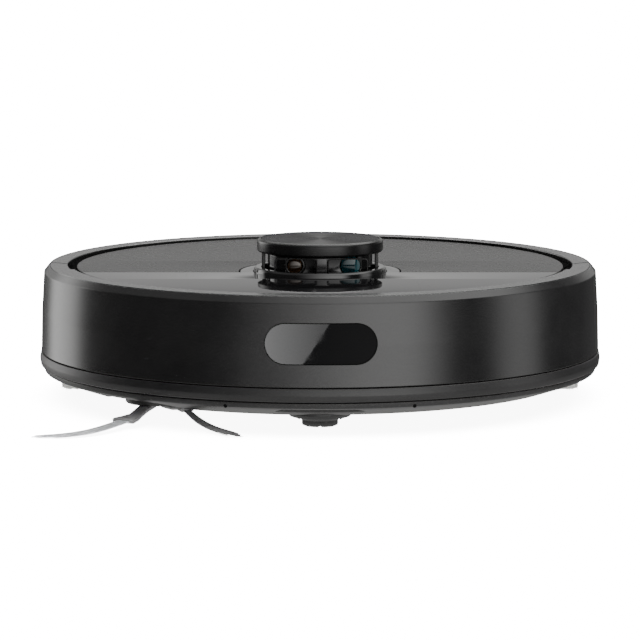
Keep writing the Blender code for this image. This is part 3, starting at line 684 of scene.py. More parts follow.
def place(obj, body, finish, slot_name, replaces=(), angle=35):
    """Gives a finished mesh its material and its body, and hides the CAD nodes it stands for; slot_name is not used.
    """
    obj.data.materials.clear()
    obj.data.materials.append(finish)
    smooth(obj, angle)
    if replaces:
        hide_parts(*replaces)
    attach(obj, body)
    return obj


def keep(node, finish, edge=0.4, angle=40):
    """A CAD node that stays as it is, with its material and softened edges."""
    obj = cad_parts[node]
    obj.data.materials.clear()
    obj.data.materials.append(finish)
    step = obj.modifiers.new("soft_edges", "BEVEL")
    step.width = edge * MM
    step.segments = 2
    step.limit_method = "ANGLE"
    step.angle_limit = math.radians(angle)
    step.harden_normals = False
    return obj


# ---------------------------------------------------------------- shells

SHELL_LO, SHELL_HI = node_box("front_bumper")
BODY_R = -SHELL_LO[1]
SHELL_Z, RIM_Z = SHELL_LO[2], SHELL_HI[2]
REAR_LO, REAR_HI = node_box("rear_shell")
SKIRT_LO, SKIRT_HI = node_box("bumper_skirt")
SKIRT_R = -SKIRT_LO[1]
WINDOW_LO, WINDOW_HI = node_box("front_window")
COVER_R = -node_box("front_panel")[0][1]
COVER_Z = node_box("front_panel")[1][2]
PANEL_Z = node_box("front_panel")[0][2]
RIM_IN_R = COVER_R + 3.0        # bumper rim's inner edge in front
REAR_RIM_IN_R = COVER_R + 5.9   # and behind the step
RIM_STEP_Y = -35.0
SEAM_SLOPE = 0.52               # the side seam runs outwards and backwards
SEAM_AT_BODY = (173.9, 2.93)    # where it meets the body's side
SEAM_HALF = 1.1


def seam_ends(front):
    """Angles at which a ring of radius r starts and ends beside the slanted seam."""
    shift = -SEAM_HALF if front else SEAM_HALF
    offset = SEAM_AT_BODY[1] + shift - SEAM_SLOPE * SEAM_AT_BODY[0]

    def ends(r):
        a = 1 + SEAM_SLOPE ** 2
        b = 2 * offset * SEAM_SLOPE
        c = offset ** 2 - r ** 2
        x = (-b + math.sqrt(b * b - 4 * a * c)) / (2 * a)
        side = math.atan2(offset + SEAM_SLOPE * x, x)
        if front:
            return math.pi - side, 2 * math.pi + side
        return side, math.pi - side
    return ends


def shell_profile(rim_in, lip_z, groove):
    """Wall, chamfer and flat rim, with a fine groove beside the chamfer in front."""
    top = [(rim_in, RIM_Z - 0.3)]
    radii = [0.7]
    if groove:
        top += [(BODY_R - 6.1, RIM_Z - 0.05), (BODY_R - 5.75, RIM_Z - 0.75), (BODY_R - 5.35, RIM_Z - 0.7),
                (BODY_R - 5.1, RIM_Z - 0.15)]
        radii += [0.15, 0.1, 0.1, 0.3]
    else:
        top += [(BODY_R - 5.4, RIM_Z)]
        radii += [0.8]
    top += [(BODY_R - 2.0, RIM_Z - 4.2), (BODY_R - 0.6, SHELL_Z + 24.6), (BODY_R, SHELL_Z)]
    radii += [1.6, 60.0, 0.5]
    inside = [(BODY_R - 2.6, SHELL_Z), (BODY_R - 3.2, SHELL_Z + 24.6), (BODY_R - 4.8, RIM_Z - 5.5),
              (BODY_R - 7.6, RIM_Z - 2.6), (rim_in + 2.5, RIM_Z - 2.6), (rim_in + 2.5, lip_z), (rim_in, lip_z)]
    radii += [0.4, 40.0, 1.2, 1.2, 0.6, 0.4, 0.4]
    return rounded(top + inside, radii, 5)


def build_front():
    bumper = revolve("bumper_shell", shell_profile(RIM_IN_R, 74.0, True), FINE, seam_ends(True))
    widen = turned("widen", [(0, 70), (REAR_RIM_IN_R, 70), (REAR_RIM_IN_R, 90), (0, 90)], (0, 0, 0),
                   steps=FINE, closed=False)
    cut(widen, box("keep_behind", (-250, -250, 60), (250, RIM_STEP_Y, 100), 0))
    window_x = (WINDOW_LO[0] + WINDOW_HI[0]) / 2
    window_z = (WINDOW_LO[2] + WINDOW_HI[2]) / 2
    width, height = WINDOW_HI[0] - WINDOW_LO[0], WINDOW_HI[2] - WINDOW_LO[2]
    opening = prism("opening", stadium(window_x, window_z, width + 0.8, height + 0.8, 20), -190, -150)
    cut(bumper, widen, opening)
    bevel(bumper, 0.3, 50, 2)
    place(bumper, "bumper", SATIN_BLACK, "satin_black", ["front_bumper"])
    bumper.modifiers.new("normals", "WEIGHTED_NORMAL").keep_sharp = True

    lens_r = BODY_R - 0.8
    ring = rounded([(lens_r - 1.3, 30), (lens_r, 30), (lens_r, 80), (lens_r - 1.3, 80)], 0.0)
    lens = revolve("sensor_window", ring, 64, lambda r: (math.radians(256), math.radians(285)))
    outline = prism("outline", stadium(window_x, window_z, width, height, 20), -190, -150)
    cut(lens, outline, operation="INTERSECT")
    bevel(lens, 0.35, 50, 3)
    place(lens, "bumper", WINDOW_BLACK, "gloss_black", ["front_window"])
    lens.modifiers.new("normals", "WEIGHTED_NORMAL").keep_sharp = True


def skirt_profile():
    low, high = SKIRT_LO[2], SKIRT_HI[2]
    points = [(SKIRT_R - 3.4, high), (SKIRT_R - 0.8, high), (SKIRT_R, high - 4.1), (SKIRT_R - 0.6, low),
              (SKIRT_R - 3.4, low)]
    return rounded(points, [0.4, 0.7, 3.0, 0.7, 0.4], 5)


def build_skirts():
    front = revolve("front_skirt", skirt_profile(), FINE, seam_ends(True))
    place(bevel(front, 0.25, 50, 2), "bumper", SKIRT_BLACK, "chassis_black", ["bumper_skirt"])
    rear = revolve("tail_skirt", skirt_profile(), FINE, seam_ends(False))
    place(bevel(rear, 0.25, 50, 2), "root", SKIRT_BLACK, "chassis_black", ["rear_skirt"])


def build_rear():
    shell = revolve("tail_shell", shell_profile(REAR_RIM_IN_R, 70.0, False), FINE, seam_ends(False))
    cutters = []
    for side in ("left", "right"):
        lo, hi = node_box("charge_contact_" + side)
        cutters.append(box("pocket", (lo[0] - 0.4, 165, lo[2] - 0.4), (hi[0] + 0.4, 190, hi[2] + 0.4), 0))
    for x in range(-32, 33, 8):
        cutters.append(prism("vent", stadium_upright(x, 53.0, 3.8, 14.0), 150, 190))
    cut(shell, *cutters)
    bevel(shell, 0.3, 50, 2)
    place(shell, "root", SATIN_BLACK, "satin_black", ["rear_shell"])
    shell.modifiers.new("normals", "WEIGHTED_NORMAL").keep_sharp = True
    for side in ("left", "right"):
        lo, hi = node_box("charge_contact_" + side)
        plate_piece = box("contact_" + side, lo, hi, 0.7)
        place(plate_piece, "root", CONTACT_STEEL, "steel", ["charge_contact_" + side])
    mesh_back = revolve("vent_mesh", rounded([(168.4, 44.5), (169.2, 44.5), (169.2, 61.5), (168.4, 61.5)], 0.0),
                        48, lambda r: (math.radians(77.5), math.radians(102.5)))
    place(mesh_back, "root", CHASSIS_BLACK, "chassis_black")


def stadium_upright(x, z, width, height, steps=8):
    """A rounded slot's outline that stands upright."""
    radius = width / 2
    reach = height / 2 - radius
    return arc((x, z + reach), radius, 0, 180, steps) + arc((x, z - reach), radius, 180, 360, steps)


# ---------------------------------------------------------------- covers

LIDAR_AT = middle("lidar_cap")[:2]
ISLAND_R = node_box("front_panel")[1][1] - LIDAR_AT[1]
PANEL_BACK_Y = -41.3
COLLAR_HOLE_R = 41.2
LID_LO, LID_HI = node_box("rear_lid")
NOTCH_R = ISLAND_R + 0.8


def crossing(radius, centre_y, line_y):
    """Half-width of a circle where a line across it runs."""
    return math.sqrt(radius ** 2 - (line_y - centre_y) ** 2)


def build_covers():
    x = crossing(COVER_R, 0, PANEL_BACK_Y)
    side = math.degrees(math.atan2(PANEL_BACK_Y, x))
    island_x = crossing(ISLAND_R, LIDAR_AT[1], PANEL_BACK_Y)
    lean = math.degrees(math.atan2(PANEL_BACK_Y - LIDAR_AT[1], island_x))
    outline = arc((0, 0), COVER_R, 180 - side, 360 + side, 260)
    outline += arc(LIDAR_AT, ISLAND_R, lean, 180 - lean, 130)
    panel = plate("top_panel", [outline, circle(LIDAR_AT, COLLAR_HOLE_R, 128)], PANEL_Z, COVER_Z, 0.45, 4)
    place(panel, "root", GLOSS_BLACK, "gloss_black", ["front_panel"])

    x = crossing(COVER_R, 0, LID_LO[1])
    side = math.degrees(math.atan2(LID_LO[1], x))
    notch_x = crossing(NOTCH_R, LIDAR_AT[1], LID_LO[1])
    lean = math.degrees(math.atan2(LID_LO[1] - LIDAR_AT[1], notch_x))
    outline = arc((0, 0), COVER_R, side, 180 - side, 260)
    outline += arc(LIDAR_AT, NOTCH_R, 180 - lean, lean, 130)
    lid = plate("flip_lid", [outline], LID_LO[2], LID_HI[2], 0.45, 4)
    for hinge in ("lid_hinge_left", "lid_hinge_right"):
        hinge_x = middle(hinge)[0]
        axis_y = LID_LO[1] + 1.8
        cut(lid, box("pocket", (hinge_x - 3.4, LID_LO[1] - 2, LID_LO[2] - 2),
                     (hinge_x + 3.4, axis_y + 1.4, LID_HI[2] - 0.5), 0))
    place(lid, "lid", LID_BLACK, "satin_black", ["rear_lid"])
    ribs = []
    for rib_x in (-60, -20, 20, 60):
        ribs.append(box("rib", (rib_x - 0.8, 100, LID_LO[2] - 1.1), (rib_x + 0.8, 132, LID_LO[2] + 0.2), 0.2))
    for rib_y in (100, 116, 132):
        ribs.append(box("rib", (-60, rib_y - 0.8, LID_LO[2] - 1.1), (60, rib_y + 0.8, LID_LO[2] + 0.2), 0.2))
    ribs.append(box("finger_lip", (-14, 146.5, LID_LO[2] - 1.5), (14, 149.0, LID_LO[2] + 0.2), 0.3))
    for rib in ribs:
        smooth(rib)
    place(joined("lid_ribs", ribs), "lid", CHASSIS_BLACK, "satin_black")


def build_rim_details():
    """Pale grey tabs in the gap beside the bumper's steps, a painted highlight where the gap's lit floor shows."""
    for side in (-1, 1):
        tab = box("tab", (-1.9, -1.6, 73.0), (1.9, 1.6, COVER_Z - 0.4), 0.4)
        angle = math.atan2(-30.2, side * 151.6)
        turn = Matrix.Rotation(angle, 3, "Z")
        spot = (154.6 * math.cos(angle), 154.6 * math.sin(angle), 0)
        place(moved(tab, spot, turn), "root", PALE_GREY, "grey_plastic").name = (
            "rim_highlight_tab_" + ("right" if side < 0 else "left"))


# ---------------------------------------------------------------- turret

CAP_LO, CAP_HI = node_box("lidar_cap")
CAP_R = CAP_HI[0]
COLLAR_LO, COLLAR_HI = node_box("lidar_base")
HEAD_LO, HEAD_HI = node_box("lidar_head")
HEAD_R = 32.2
LENSES = {
    "emitter": (middle("lidar_emitter_lens")[0], 4.6, node_box("lidar_emitter_lens")[0][1], EMITTER_GLASS),
    "receiver": (middle("lidar_receiver_lens")[0], 6.2, node_box("lidar_receiver_lens")[0][1], RECEIVER_GLASS),
}
LENS_Z = middle("lidar_receiver_lens")[2]
POCKET_Y = -57.4                # flat floor of the two windows in the head


def at_lidar(obj):
    return moved(obj, (LIDAR_AT[0], LIDAR_AT[1], 0))


def build_collar():
    top = COLLAR_HI[2]
    points = [(36.2, top), (39.6, top), (40.5, top - 1.2), (40.9, COVER_Z - 0.6), (40.5, 76), (42.3, 75),
              (42.3, 55), (7, 55), (7, 57.5), (39.3, 57.5), (39.3, 74), (36.2, 76.5)]
    radii = [0.4, 0.8, 0.5, 0.4, 0.3, 0.3, 0.3, 0.3, 0.3, 0.3, 0.3, 0.3]
    collar = revolve("turret_collar", rounded(points, radii, 4), 160)
    motor = middle("lidar_motor")
    aim = math.atan2(motor[1] - LIDAR_AT[1], motor[0] - LIDAR_AT[0])
    slot = moved(box("belt_slot", (20, -33, 59.0), (60, 33, 64.6), 0), (0, 0, 0), Matrix.Rotation(aim, 3, "Z"))
    cutters = [slot]
    for centre in (0, 180):
        for step in range(-3, 4):
            angle = math.radians(centre + step * 6.5)
            notch = box("notch", (40.15, -0.9, COVER_Z + 0.35), (43, 0.9, top + 1), 0)
            cutters.append(moved(notch, (0, 0, 0), Matrix.Rotation(angle, 3, "Z")))
    cut(collar, *cutters)
    place(at_lidar(bevel(collar, 0.12, 50, 2)), "root", GLOSS_BLACK, "gloss_black", ["lidar_base"])


def window_outline(x0, x1, z0, z1, corner):
    return rounded([(x0, z0), (x1, z0), (x1, z1), (x0, z1)], corner, 6)


def build_head():
    top = HEAD_HI[2]
    points = [(0, top), (31.0, top), (HEAD_R, top - 1.0), (HEAD_R, 74.0), (30.0, 73.0), (30.0, 65.0),
              (33.0, 64.6), (33.0, 63.4), (30.0, 63.0), (30.0, 60.0), (33.0, 59.6), (33.0, 58.6),
              (5.0, 58.6), (5.0, 54.0), (0, 54.0)]
    head = at_lidar(revolve("turret_head_shell", rounded(points, [0] + [0.4] * 13 + [0], 4), 160, closed=False))
    left = prism("left_window", window_outline(-28.2, -2.2, 80.4, 92.0, 2.2), -72, POCKET_Y)
    right = prism("right_window", window_outline(4.2, 29.6, 80.4, 92.0, 2.2), -72, POCKET_Y)
    bores = [rod("bore", (x, -75, LENS_Z), (x, -52.6, LENS_Z), radius + 0.4, 0, 48)
             for x, radius, _, _ in LENSES.values()]
    cut(head, left, right, *bores)
    place(bevel(head, 0.22, 50, 2), "turret_head", HEAD_BLACK, "gloss_black", ["lidar_head"])

    rims = []
    for name, (x0, x1) in (("left", (-28.2, -2.2)), ("right", (4.2, 29.6))):
        outline = window_outline(x0 + 0.35, x1 - 0.35, 80.7, 91.7, 2.0)
        hole = window_outline(x0 + 1.2, x1 - 1.2, 81.5, 90.9, 1.6)
        frame_piece = plate("window_frame_" + name, [outline, hole], 0, 1.1, 0.25, 2)
        moved(frame_piece, (0, POCKET_Y - 0.05, 0), Matrix.Rotation(math.pi / 2, 3, "X"))
        rims.append(frame_piece)
    place(joined("window_frames", rims), "turret_head", CAP_SIDE, "gloss_black")

    for name, (x, radius, front_y, glass) in LENSES.items():
        back_y = -53.0
        depth = back_y - front_y
        dome = [(0, depth)]
        for k in range(10):
            angle = math.pi / 2 * k / 9
            dome.append((0.94 * radius * math.sin(angle), depth - 1.2 + 1.2 * math.cos(angle)))
        dome += [(0.94 * radius, 0), (0, 0)]
        lens = turned("lens_" + name, dome, (0, 0, 0), "Z", 64, closed=False)
        turn = Matrix.Rotation(math.pi / 2, 3, "X")
        moved(lens, (x, back_y, LENS_Z), turn)
        clip = moved(rod("clip", (0, 0, 60), (0, 0, 110), 33.1, 0, 128), (*LIDAR_AT, 0))
        cut(lens, clip, operation="INTERSECT")
        place(lens, "turret_head", glass, "lens_glass", ["lidar_" + name + "_lens"])
        if name == "emitter":
            ring = [(radius + 0.55, 0), (radius + 1.5, 0), (radius + 1.5, 1.3), (radius + 0.55, 1.6)]
            bezel = turned("emitter_bezel", rounded(ring, 0.2, 3), (0, 0, 0), "Z", 64)
            moved(bezel, (x, POCKET_Y - 0.05, LENS_Z), turn)
            place(bezel, "turret_head", CAP_SIDE, "gloss_black")
    # two small steel rods at the emitter lens's front, put there as a painted glint on the dark lens
    glints = []
    for dx, dz, radius in ((-1.6, 1.2, 0.55), (1.3, -0.8, 0.38)):
        x, _, front_y, _ = LENSES["emitter"]
        glints.append(rod("glint", (x + dx, front_y - 0.12 + 0.35, LENS_Z + dz), (x + dx, front_y + 1.2, LENS_Z + dz),
                          radius, 0.1, 16))
    place(joined("emitter_glint_rods", glints), "turret_head", STEEL, "steel")


def build_cap():
    top, low = CAP_HI[2], 93.6
    points = [(0, top - 1.2), (36.4, top - 1.0), (36.6, top - 0.1), (37.0, top), (CAP_R - 0.4, top - 0.9),
              (CAP_R, top - 1.8), (CAP_R, low + 1.0), (CAP_R - 0.8, low), (0, low)]
    cap = revolve("turret_cap", rounded(points, [0, 0.1, 0.1, 0.2, 0.5, 0.5, 0.5, 0.5, 0], 5), 192, closed=False)
    posts = []
    for turn in (0, 90, 180):
        post = box("post", (33.6, -2.5, CAP_LO[2]), (35.8, 2.5, low + 0.3), 0.4)
        posts.append(moved(post, (0, 0, 0), Matrix.Rotation(math.radians(turn), 3, "Z")))
    place(at_lidar(cap), "root", CAP_SIDE, "spun_black", ["lidar_cap"])
    place(at_lidar(joined("cap_posts", posts)), "root", CAP_SIDE, "spun_black")
    disc = rounded([(0, top - 1.15), (36.2, top - 0.85), (36.2, top - 0.35), (34.6, top - 0.3),
                    (34.2, top - 0.42), (0, top - 0.55)], [0, 0.1, 0.2, 0.2, 0.2, 0], 3)
    spun = revolve("cap_disc", disc, 192, closed=False)
    place(at_lidar(spun), "root", SPUN_BLACK, "spun_black")


def build_drive_of_turret():
    keep("lidar_motor", STEEL, 0.5)
    keep("lidar_pulley", GREY_PLASTIC, 0.15)
    keep("lidar_belt", RUBBER, 0.2)


# ---------------------------------------------------------------- chassis

BASE_LO, BASE_HI = node_box("chassis_base")
FLOOR_Z = BASE_LO[2]
TUB_R = node_box("upper_chassis")[1][0]
BRUSH_AT = np.append(middle("side_brush_gearbox")[:2], 0)
CASTER_AT = middle("caster_housing")[:2]
BRUSH_WELL_R = 35.0             # recess the side brush's arms turn in


def screw(x, y, z, down=True, radius=2.6):
    """A cross-recessed screw head in a shallow counterbore, looking down or up."""
    head = rounded([(0, 0.9), (radius * 0.55, 0.85), (radius, 0.35), (radius, 0), (0, 0)], [0, 0.3, 0.2, 0, 0], 3)
    body = revolve("screw", head, 28, closed=False)
    bars = [box("bar", (-radius * 0.62, -0.3, 0.35), (radius * 0.62, 0.3, 2), 0),
            box("bar", (-0.3, -radius * 0.62, 0.35), (0.3, radius * 0.62, 2), 0)]
    cut(body, *bars)
    turn = Matrix.Rotation(math.pi, 3, "X") if down else Matrix.Identity(3)
    return moved(body, (x, y, z), turn)


BASE_SCREWS = [(-30, -136), (30, -136), (66, -100), (-66, -62.5), (82, -62), (-82.5, 66), (82.5, 66), (-50, 2),
               (50, 2), (0, 2)]
CLIFF_SENSORS = [(-50, -133), (50, -133), (-137, -49), (137, -49)]


def build_base():
    low = FLOOR_Z
    rim = BASE_HI[0]
    points = [(0, low + 3), (TUB_R, low + 3), (rim - 9.6, low + 7.2), (rim - 6.6, low + 10.2),
              (rim, low + 10.2), (rim - 0.6, low + 7.0), (rim - 4.6, low + 5.4), (rim - 19.6, low + 0.4),
              (rim - 22.6, low), (0, low)]
    radii = [0, 0.6, 0.8, 0.6, 0.5, 1.2, 1.5, 1.2, 2.0, 0]
    base = revolve("base_plate", rounded(points, radii, 4), FINE, closed=False)
    roof = rod("roof", BRUSH_AT + (0, 0, low + 2.5), BRUSH_AT + (0, 0, low + 7.5), BRUSH_WELL_R + 2.5, 0, 128)
    cut(roof, rod("inside_lip", (0, 0, low), (0, 0, low + 10), rim - 13.6, 0, FINE), operation="INTERSECT")
    cut(base, roof, operation="UNION")
    cutters = [
        box("well", (90, -38, 0), (131, 60, 40), 0), box("well", (-131, -38, 0), (-90, 60, 40), 0),
        box("mouth", (-76, -54, 0), (76, -6, 40), 0), box("hatch", (-40, -113, 0), (40, -61, 40), 0),
        rod("caster_hole", (*CASTER_AT, 0), (*CASTER_AT, 40), 19.5, 0, 96),
        rod("brush_well", BRUSH_AT, BRUSH_AT + (0, 0, low + 4.5), BRUSH_WELL_R, 0, 128),
        rod("shaft_hole", BRUSH_AT, BRUSH_AT + (0, 0, 40), 4.0, 0, 32),
        prism("arch", rounded([(-33, low - 6), (-31, low + 2.0), (-22, low + 6.2), (22, low + 6.2),
                               (31, low + 2.0), (33, low - 6)], [0, 3, 5, 5, 3, 0], 6), -190, -161.5),
    ]
    for x, y in CLIFF_SENSORS:
        cutters.append(cliff_shape("sensor_seat", x, y, low - 1, low + 1.1, 0.3, 0))
    for x, y in BASE_SCREWS:
        cutters.append(rod("seat", (x, y, low - 1), (x, y, low + 1.2), 3.3, 0, 28))
    for x in (-60, -36, 36, 60):
        cutters.append(box("groove", (x - 0.7, 8, low - 1), (x + 0.7, 58, low + 0.7), 0))
    cut(base, *cutters)
    bevel(base, 0.35, 50, 2)
    place(base, "root", CHASSIS_BLACK, "chassis_black", ["chassis_base"])
    screws = [screw(x, y, low + 1.2) for x, y in BASE_SCREWS]
    place(joined("base_screws", screws), "root", STEEL, "steel")
    windows = [cliff_shape("window", x, y, low + 0.35, low + 1.0, -0.2, 0.2) for x, y in CLIFF_SENSORS]
    place(joined("cliff_sensors", windows), "root", WINDOW_BLACK, "gloss_black")
    dots = [rod("dot", (side * 55, -160.5, low + 7.6), (side * 55, -163.4, low + 7.4), 1.1, 0.25, 20)
            for side in (-1, 1)]
    place(joined("lip_dots", dots), "root", WINDOW_BLACK, "gloss_black")


def cliff_shape(name, x, y, z0, z1, grow, edge):
    """A rounded window that lies along the body's rim."""
    angle = math.atan2(y, x) + math.pi / 2
    outline = rectangle(-9 - grow, -4 - grow, 9 + grow, 4 + grow, 2.4)
    if edge:
        piece = plate(name, [outline], z0, z1, edge, 2)
    else:
        piece = extruded(name, outline, z0, z1)
    return moved(piece, (x, y, 0), Matrix.Rotation(angle, 3, "Z"))


def extruded(name, outline, z0, z1):
    """An (x, y) outline drawn up Z, as a cutter."""
    count = len(outline)
    verts = [(x, y, z0) for x, y in outline] + [(x, y, z1) for x, y in outline]
    faces = [tuple(range(count))[::-1], tuple(range(count, 2 * count))]
    faces += [(i, (i + 1) % count, (i + 1) % count + count, i + count) for i in range(count)]
    return mesh_object(name, verts, faces)


def build_tub():
    """The inner deck under the covers and the round wall that carries it."""
    lo, hi = node_box("upper_chassis")
    deck, ledge = hi[2] - 4.5, hi[2]
    points = [(0, deck), (144, deck), (144, ledge), (147, ledge), (147, deck), (TUB_R, deck), (TUB_R, lo[2]),
              (0, lo[2])]
    tub = revolve("inner_deck", rounded(points, [0, 0.4, 0.4, 0.4, 0.4, 0.6, 0.4, 0], 4), 192, closed=False)
    lo, hi = node_box("tub_wall")
    inside = TUB_R - 2.6
    points = [(TUB_R, lo[2]), (TUB_R, hi[2]), (inside, hi[2]), (inside, lo[2])]
    wall = revolve("tub_wall", rounded(points, 0.4, 3), 192)
    cut(wall, rod("caster_gap", (*CASTER_AT, 10), (*CASTER_AT, 25), 19.5, 0, 96),
        rod("brush_gap", BRUSH_AT + (0, 0, 10), BRUSH_AT + (0, 0, 17.8), BRUSH_WELL_R + 2.8, 0, 128))
    place(bevel(wall, 0.2, 50, 2), "root", CHASSIS_BLACK, "chassis_black", ["tub_wall"])
    bin_lo, bin_hi = node_box("dust_bin")
    button = middle("power_button")
    cutters = [box("bay", (bin_lo[0] - 1.6, bin_lo[1] - 1.6, 60), (bin_hi[0] + 1.6, bin_hi[1] + 1.6, 90), 0),
               rod("turret_hole", (*LIDAR_AT, 60), (*LIDAR_AT, 90), 43.0, 0, 96),
               rod("button_hole", (*button[:2], 60), (*button[:2], 90), 6.4, 0, 48)]
    cut(tub, *cutters)
    place(bevel(tub, 0.3, 50, 2), "root", CHASSIS_BLACK, "chassis_black", ["upper_chassis"])
    ribs = []
    for x in (-118, 118):
        for y in (14, 38, 62):
            ribs.append(box("rib", (x - 14, y - 0.8, deck - 0.1), (x + 14, y + 0.8, deck + 1.6), 0.3))
    for x in (-52, -18, 18, 52):
        ribs.append(box("rib", (x - 0.8, 104, deck - 0.1), (x + 0.8, 132, deck + 1.6), 0.3))
    for rib in ribs:
        smooth(rib)
    place(joined("deck_ribs", ribs), "root", CHASSIS_BLACK, "chassis_black")
    spots = [(-96, 100), (96, 100), (-112, -14), (112, -14), (0, 137), (-66, 112), (66, 112)]
    place(joined("deck_screws", [screw(x, y, deck, False) for x, y in spots]), "root", STEEL, "steel")
    ring_outline = [circle(button[:2], 9.0, 64), circle(button[:2], 6.9, 64)]
    ring = plate("button_ring", ring_outline, deck - 0.05, deck + 1.2, 0.4, 3)
    place(ring, "root", PALE_GREY, "grey_plastic")
    lo, hi = node_box("power_button")
    knob = rounded([(0, lo[2]), (6, lo[2]), (6, hi[2]), (4.2, hi[2] - 0.25), (0, hi[2] - 0.5)],
                   [0, 0.3, 0.8, 2.0, 0], 4)
    key = turned("power_key", knob, (*button[:2], 0), "Z", 64, closed=False)
    place(key, "button", GREY_PLASTIC, "grey_plastic", ["power_button"])


def build_battery_door():
    lo, hi = node_box("battery_cover")
    door = plate("battery_door", [rectangle(lo[0], lo[1], hi[0], hi[1], 2.5)], lo[2], hi[2], 0.5, 3)
    cutters = [box("rib_groove", (x - 0.6, lo[1] + 12, lo[2] - 1), (x + 0.6, hi[1] - 12, lo[2] + 0.6), 0)
               for x in range(-24, 25, 6)]
    cutters += [rod("seat", (side * 33, middle("battery_cover")[1], lo[2] - 1),
                    (side * 33, middle("battery_cover")[1], lo[2] + 1.1), 3.2, 0, 28) for side in (-1, 1)]
    cut(door, *cutters)
    place(bevel(door, 0.15, 50, 2), "root", CHASSIS_BLACK, "chassis_black", ["battery_cover"])
    screws = [screw(side * 33, middle("battery_cover")[1], lo[2] + 1.1) for side in (-1, 1)]
    place(joined("battery_screws", screws), "root", STEEL, "steel")


def build_inner_parts():
    """CAD pieces that stay as they are under the covers."""
    for node, finish, edge in (
            ("battery_pack", BATTERY_BLUE, 0.6), ("main_board", BOARD_GREEN, 0.1),
            ("brush_housing", CHASSIS_BLACK, 0.6), ("roller_gearbox", GREY_PLASTIC, 0.6),
            ("roller_motor", STEEL, 0.8), ("side_brush_gearbox", GREY_PLASTIC, 0.6),
            ("fan_housing", CHASSIS_BLACK, 0.5), ("fan_impeller", GREY_PLASTIC, 0.2),
            ("wheel_arm_left", CHASSIS_BLACK, 0.8), ("wheel_arm_right", CHASSIS_BLACK, 0.8),
            ("wheel_pivot_left", STEEL, 0.3), ("wheel_pivot_right", STEEL, 0.3),
            ("bumper_spring_left", STEEL, 0.1), ("bumper_spring_right", STEEL, 0.1),
            ("sensor_module", CHASSIS_BLACK, 0.3), ("dust_bin", SMOKE_PLASTIC, 0.7),
            ("dust_filter", FILTER_WHITE, 0.3), ("lid_hinge_left", STEEL, 0.12),
            ("lid_hinge_right", STEEL, 0.12)):
        keep(node, finish, edge)
    chips = [box("chip", (x, y, 45.5), (x + w, y + d, 45.6 + h), 0.2)
             for x, y, w, d, h in ((-30, -128, 14, 14, 1.4), (4, -122, 10, 10, 1.2), (22, -130, 8, 12, 1.0),
                                   (-8, -110, 6, 5, 2.0), (12, -108, 12, 4, 3.0), (-38, -106, 10, 5, 4.0))]
    place(joined("board_chips", [smooth(c) for c in chips]), "root", GLOSS_BLACK, "board_green")
    switches = [box("switch", (x - 5, -150, 44), (x + 5, -142.6, 54), 0.4) for x in (-60, 60)]
    levers = [box("lever", (x - 4, -150.6, 45), (x + 4, -150.2, 53), 0.1) for x in (-60, 60)]
    place(joined("bumper_switches", switches + levers), "root", RED_PLASTIC, "grey_plastic")


def build_bin_top():
    lo, hi = node_box("bin_cover")
    top = lo[2] + 3.0
    cover = plate("bin_lid", [rectangle(lo[0], lo[1], hi[0], hi[1], 3.0)], lo[2], top, 0.6, 3)
    recess = box("recess", (-38, 27.5, top - 1.2), (38, 62, top + 5), 0)
    cut(cover, recess)
    bevel(cover, 0.25, 50, 2)
    lugs = []
    for side in (-1, 1):
        lug = box("lug", (side * 45 - 2, 63.5, top - 0.2), (side * 45 + 2, 68.5, hi[2]), 0.6)
        lugs.append(lug)
    for k in range(9):
        lugs.append(box("grip_rib", (-30, 70 + 2.2 * k, top - 0.1), (30, 71 + 2.2 * k, top + 0.7), 0.25))
    piece = joined("bin_lid_top", [cover] + lugs)
    place(piece, "root", GREY_PLASTIC, "grey_plastic", ["bin_cover"])
    z = middle("bin_handle")[2]
    path = [(-47.2, 66), (-42.2, 66), (-41.2, 63), (-41, 36), (-39.6, 32.4), (-36, 30.7), (36, 30.7),
            (39.6, 32.4), (41, 36), (41.2, 63), (42.2, 66), (47.2, 66)]
    path = rounded(path, 2.0, 4, closed=False)
    grip = tube("bin_grip", [[((x, y, z), 1.15) for x, y in path]], 16)
    place(grip, "root", RED_PLASTIC, "red_accent", ["bin_handle"])


# ---------------------------------------------------------------- wheels and caster

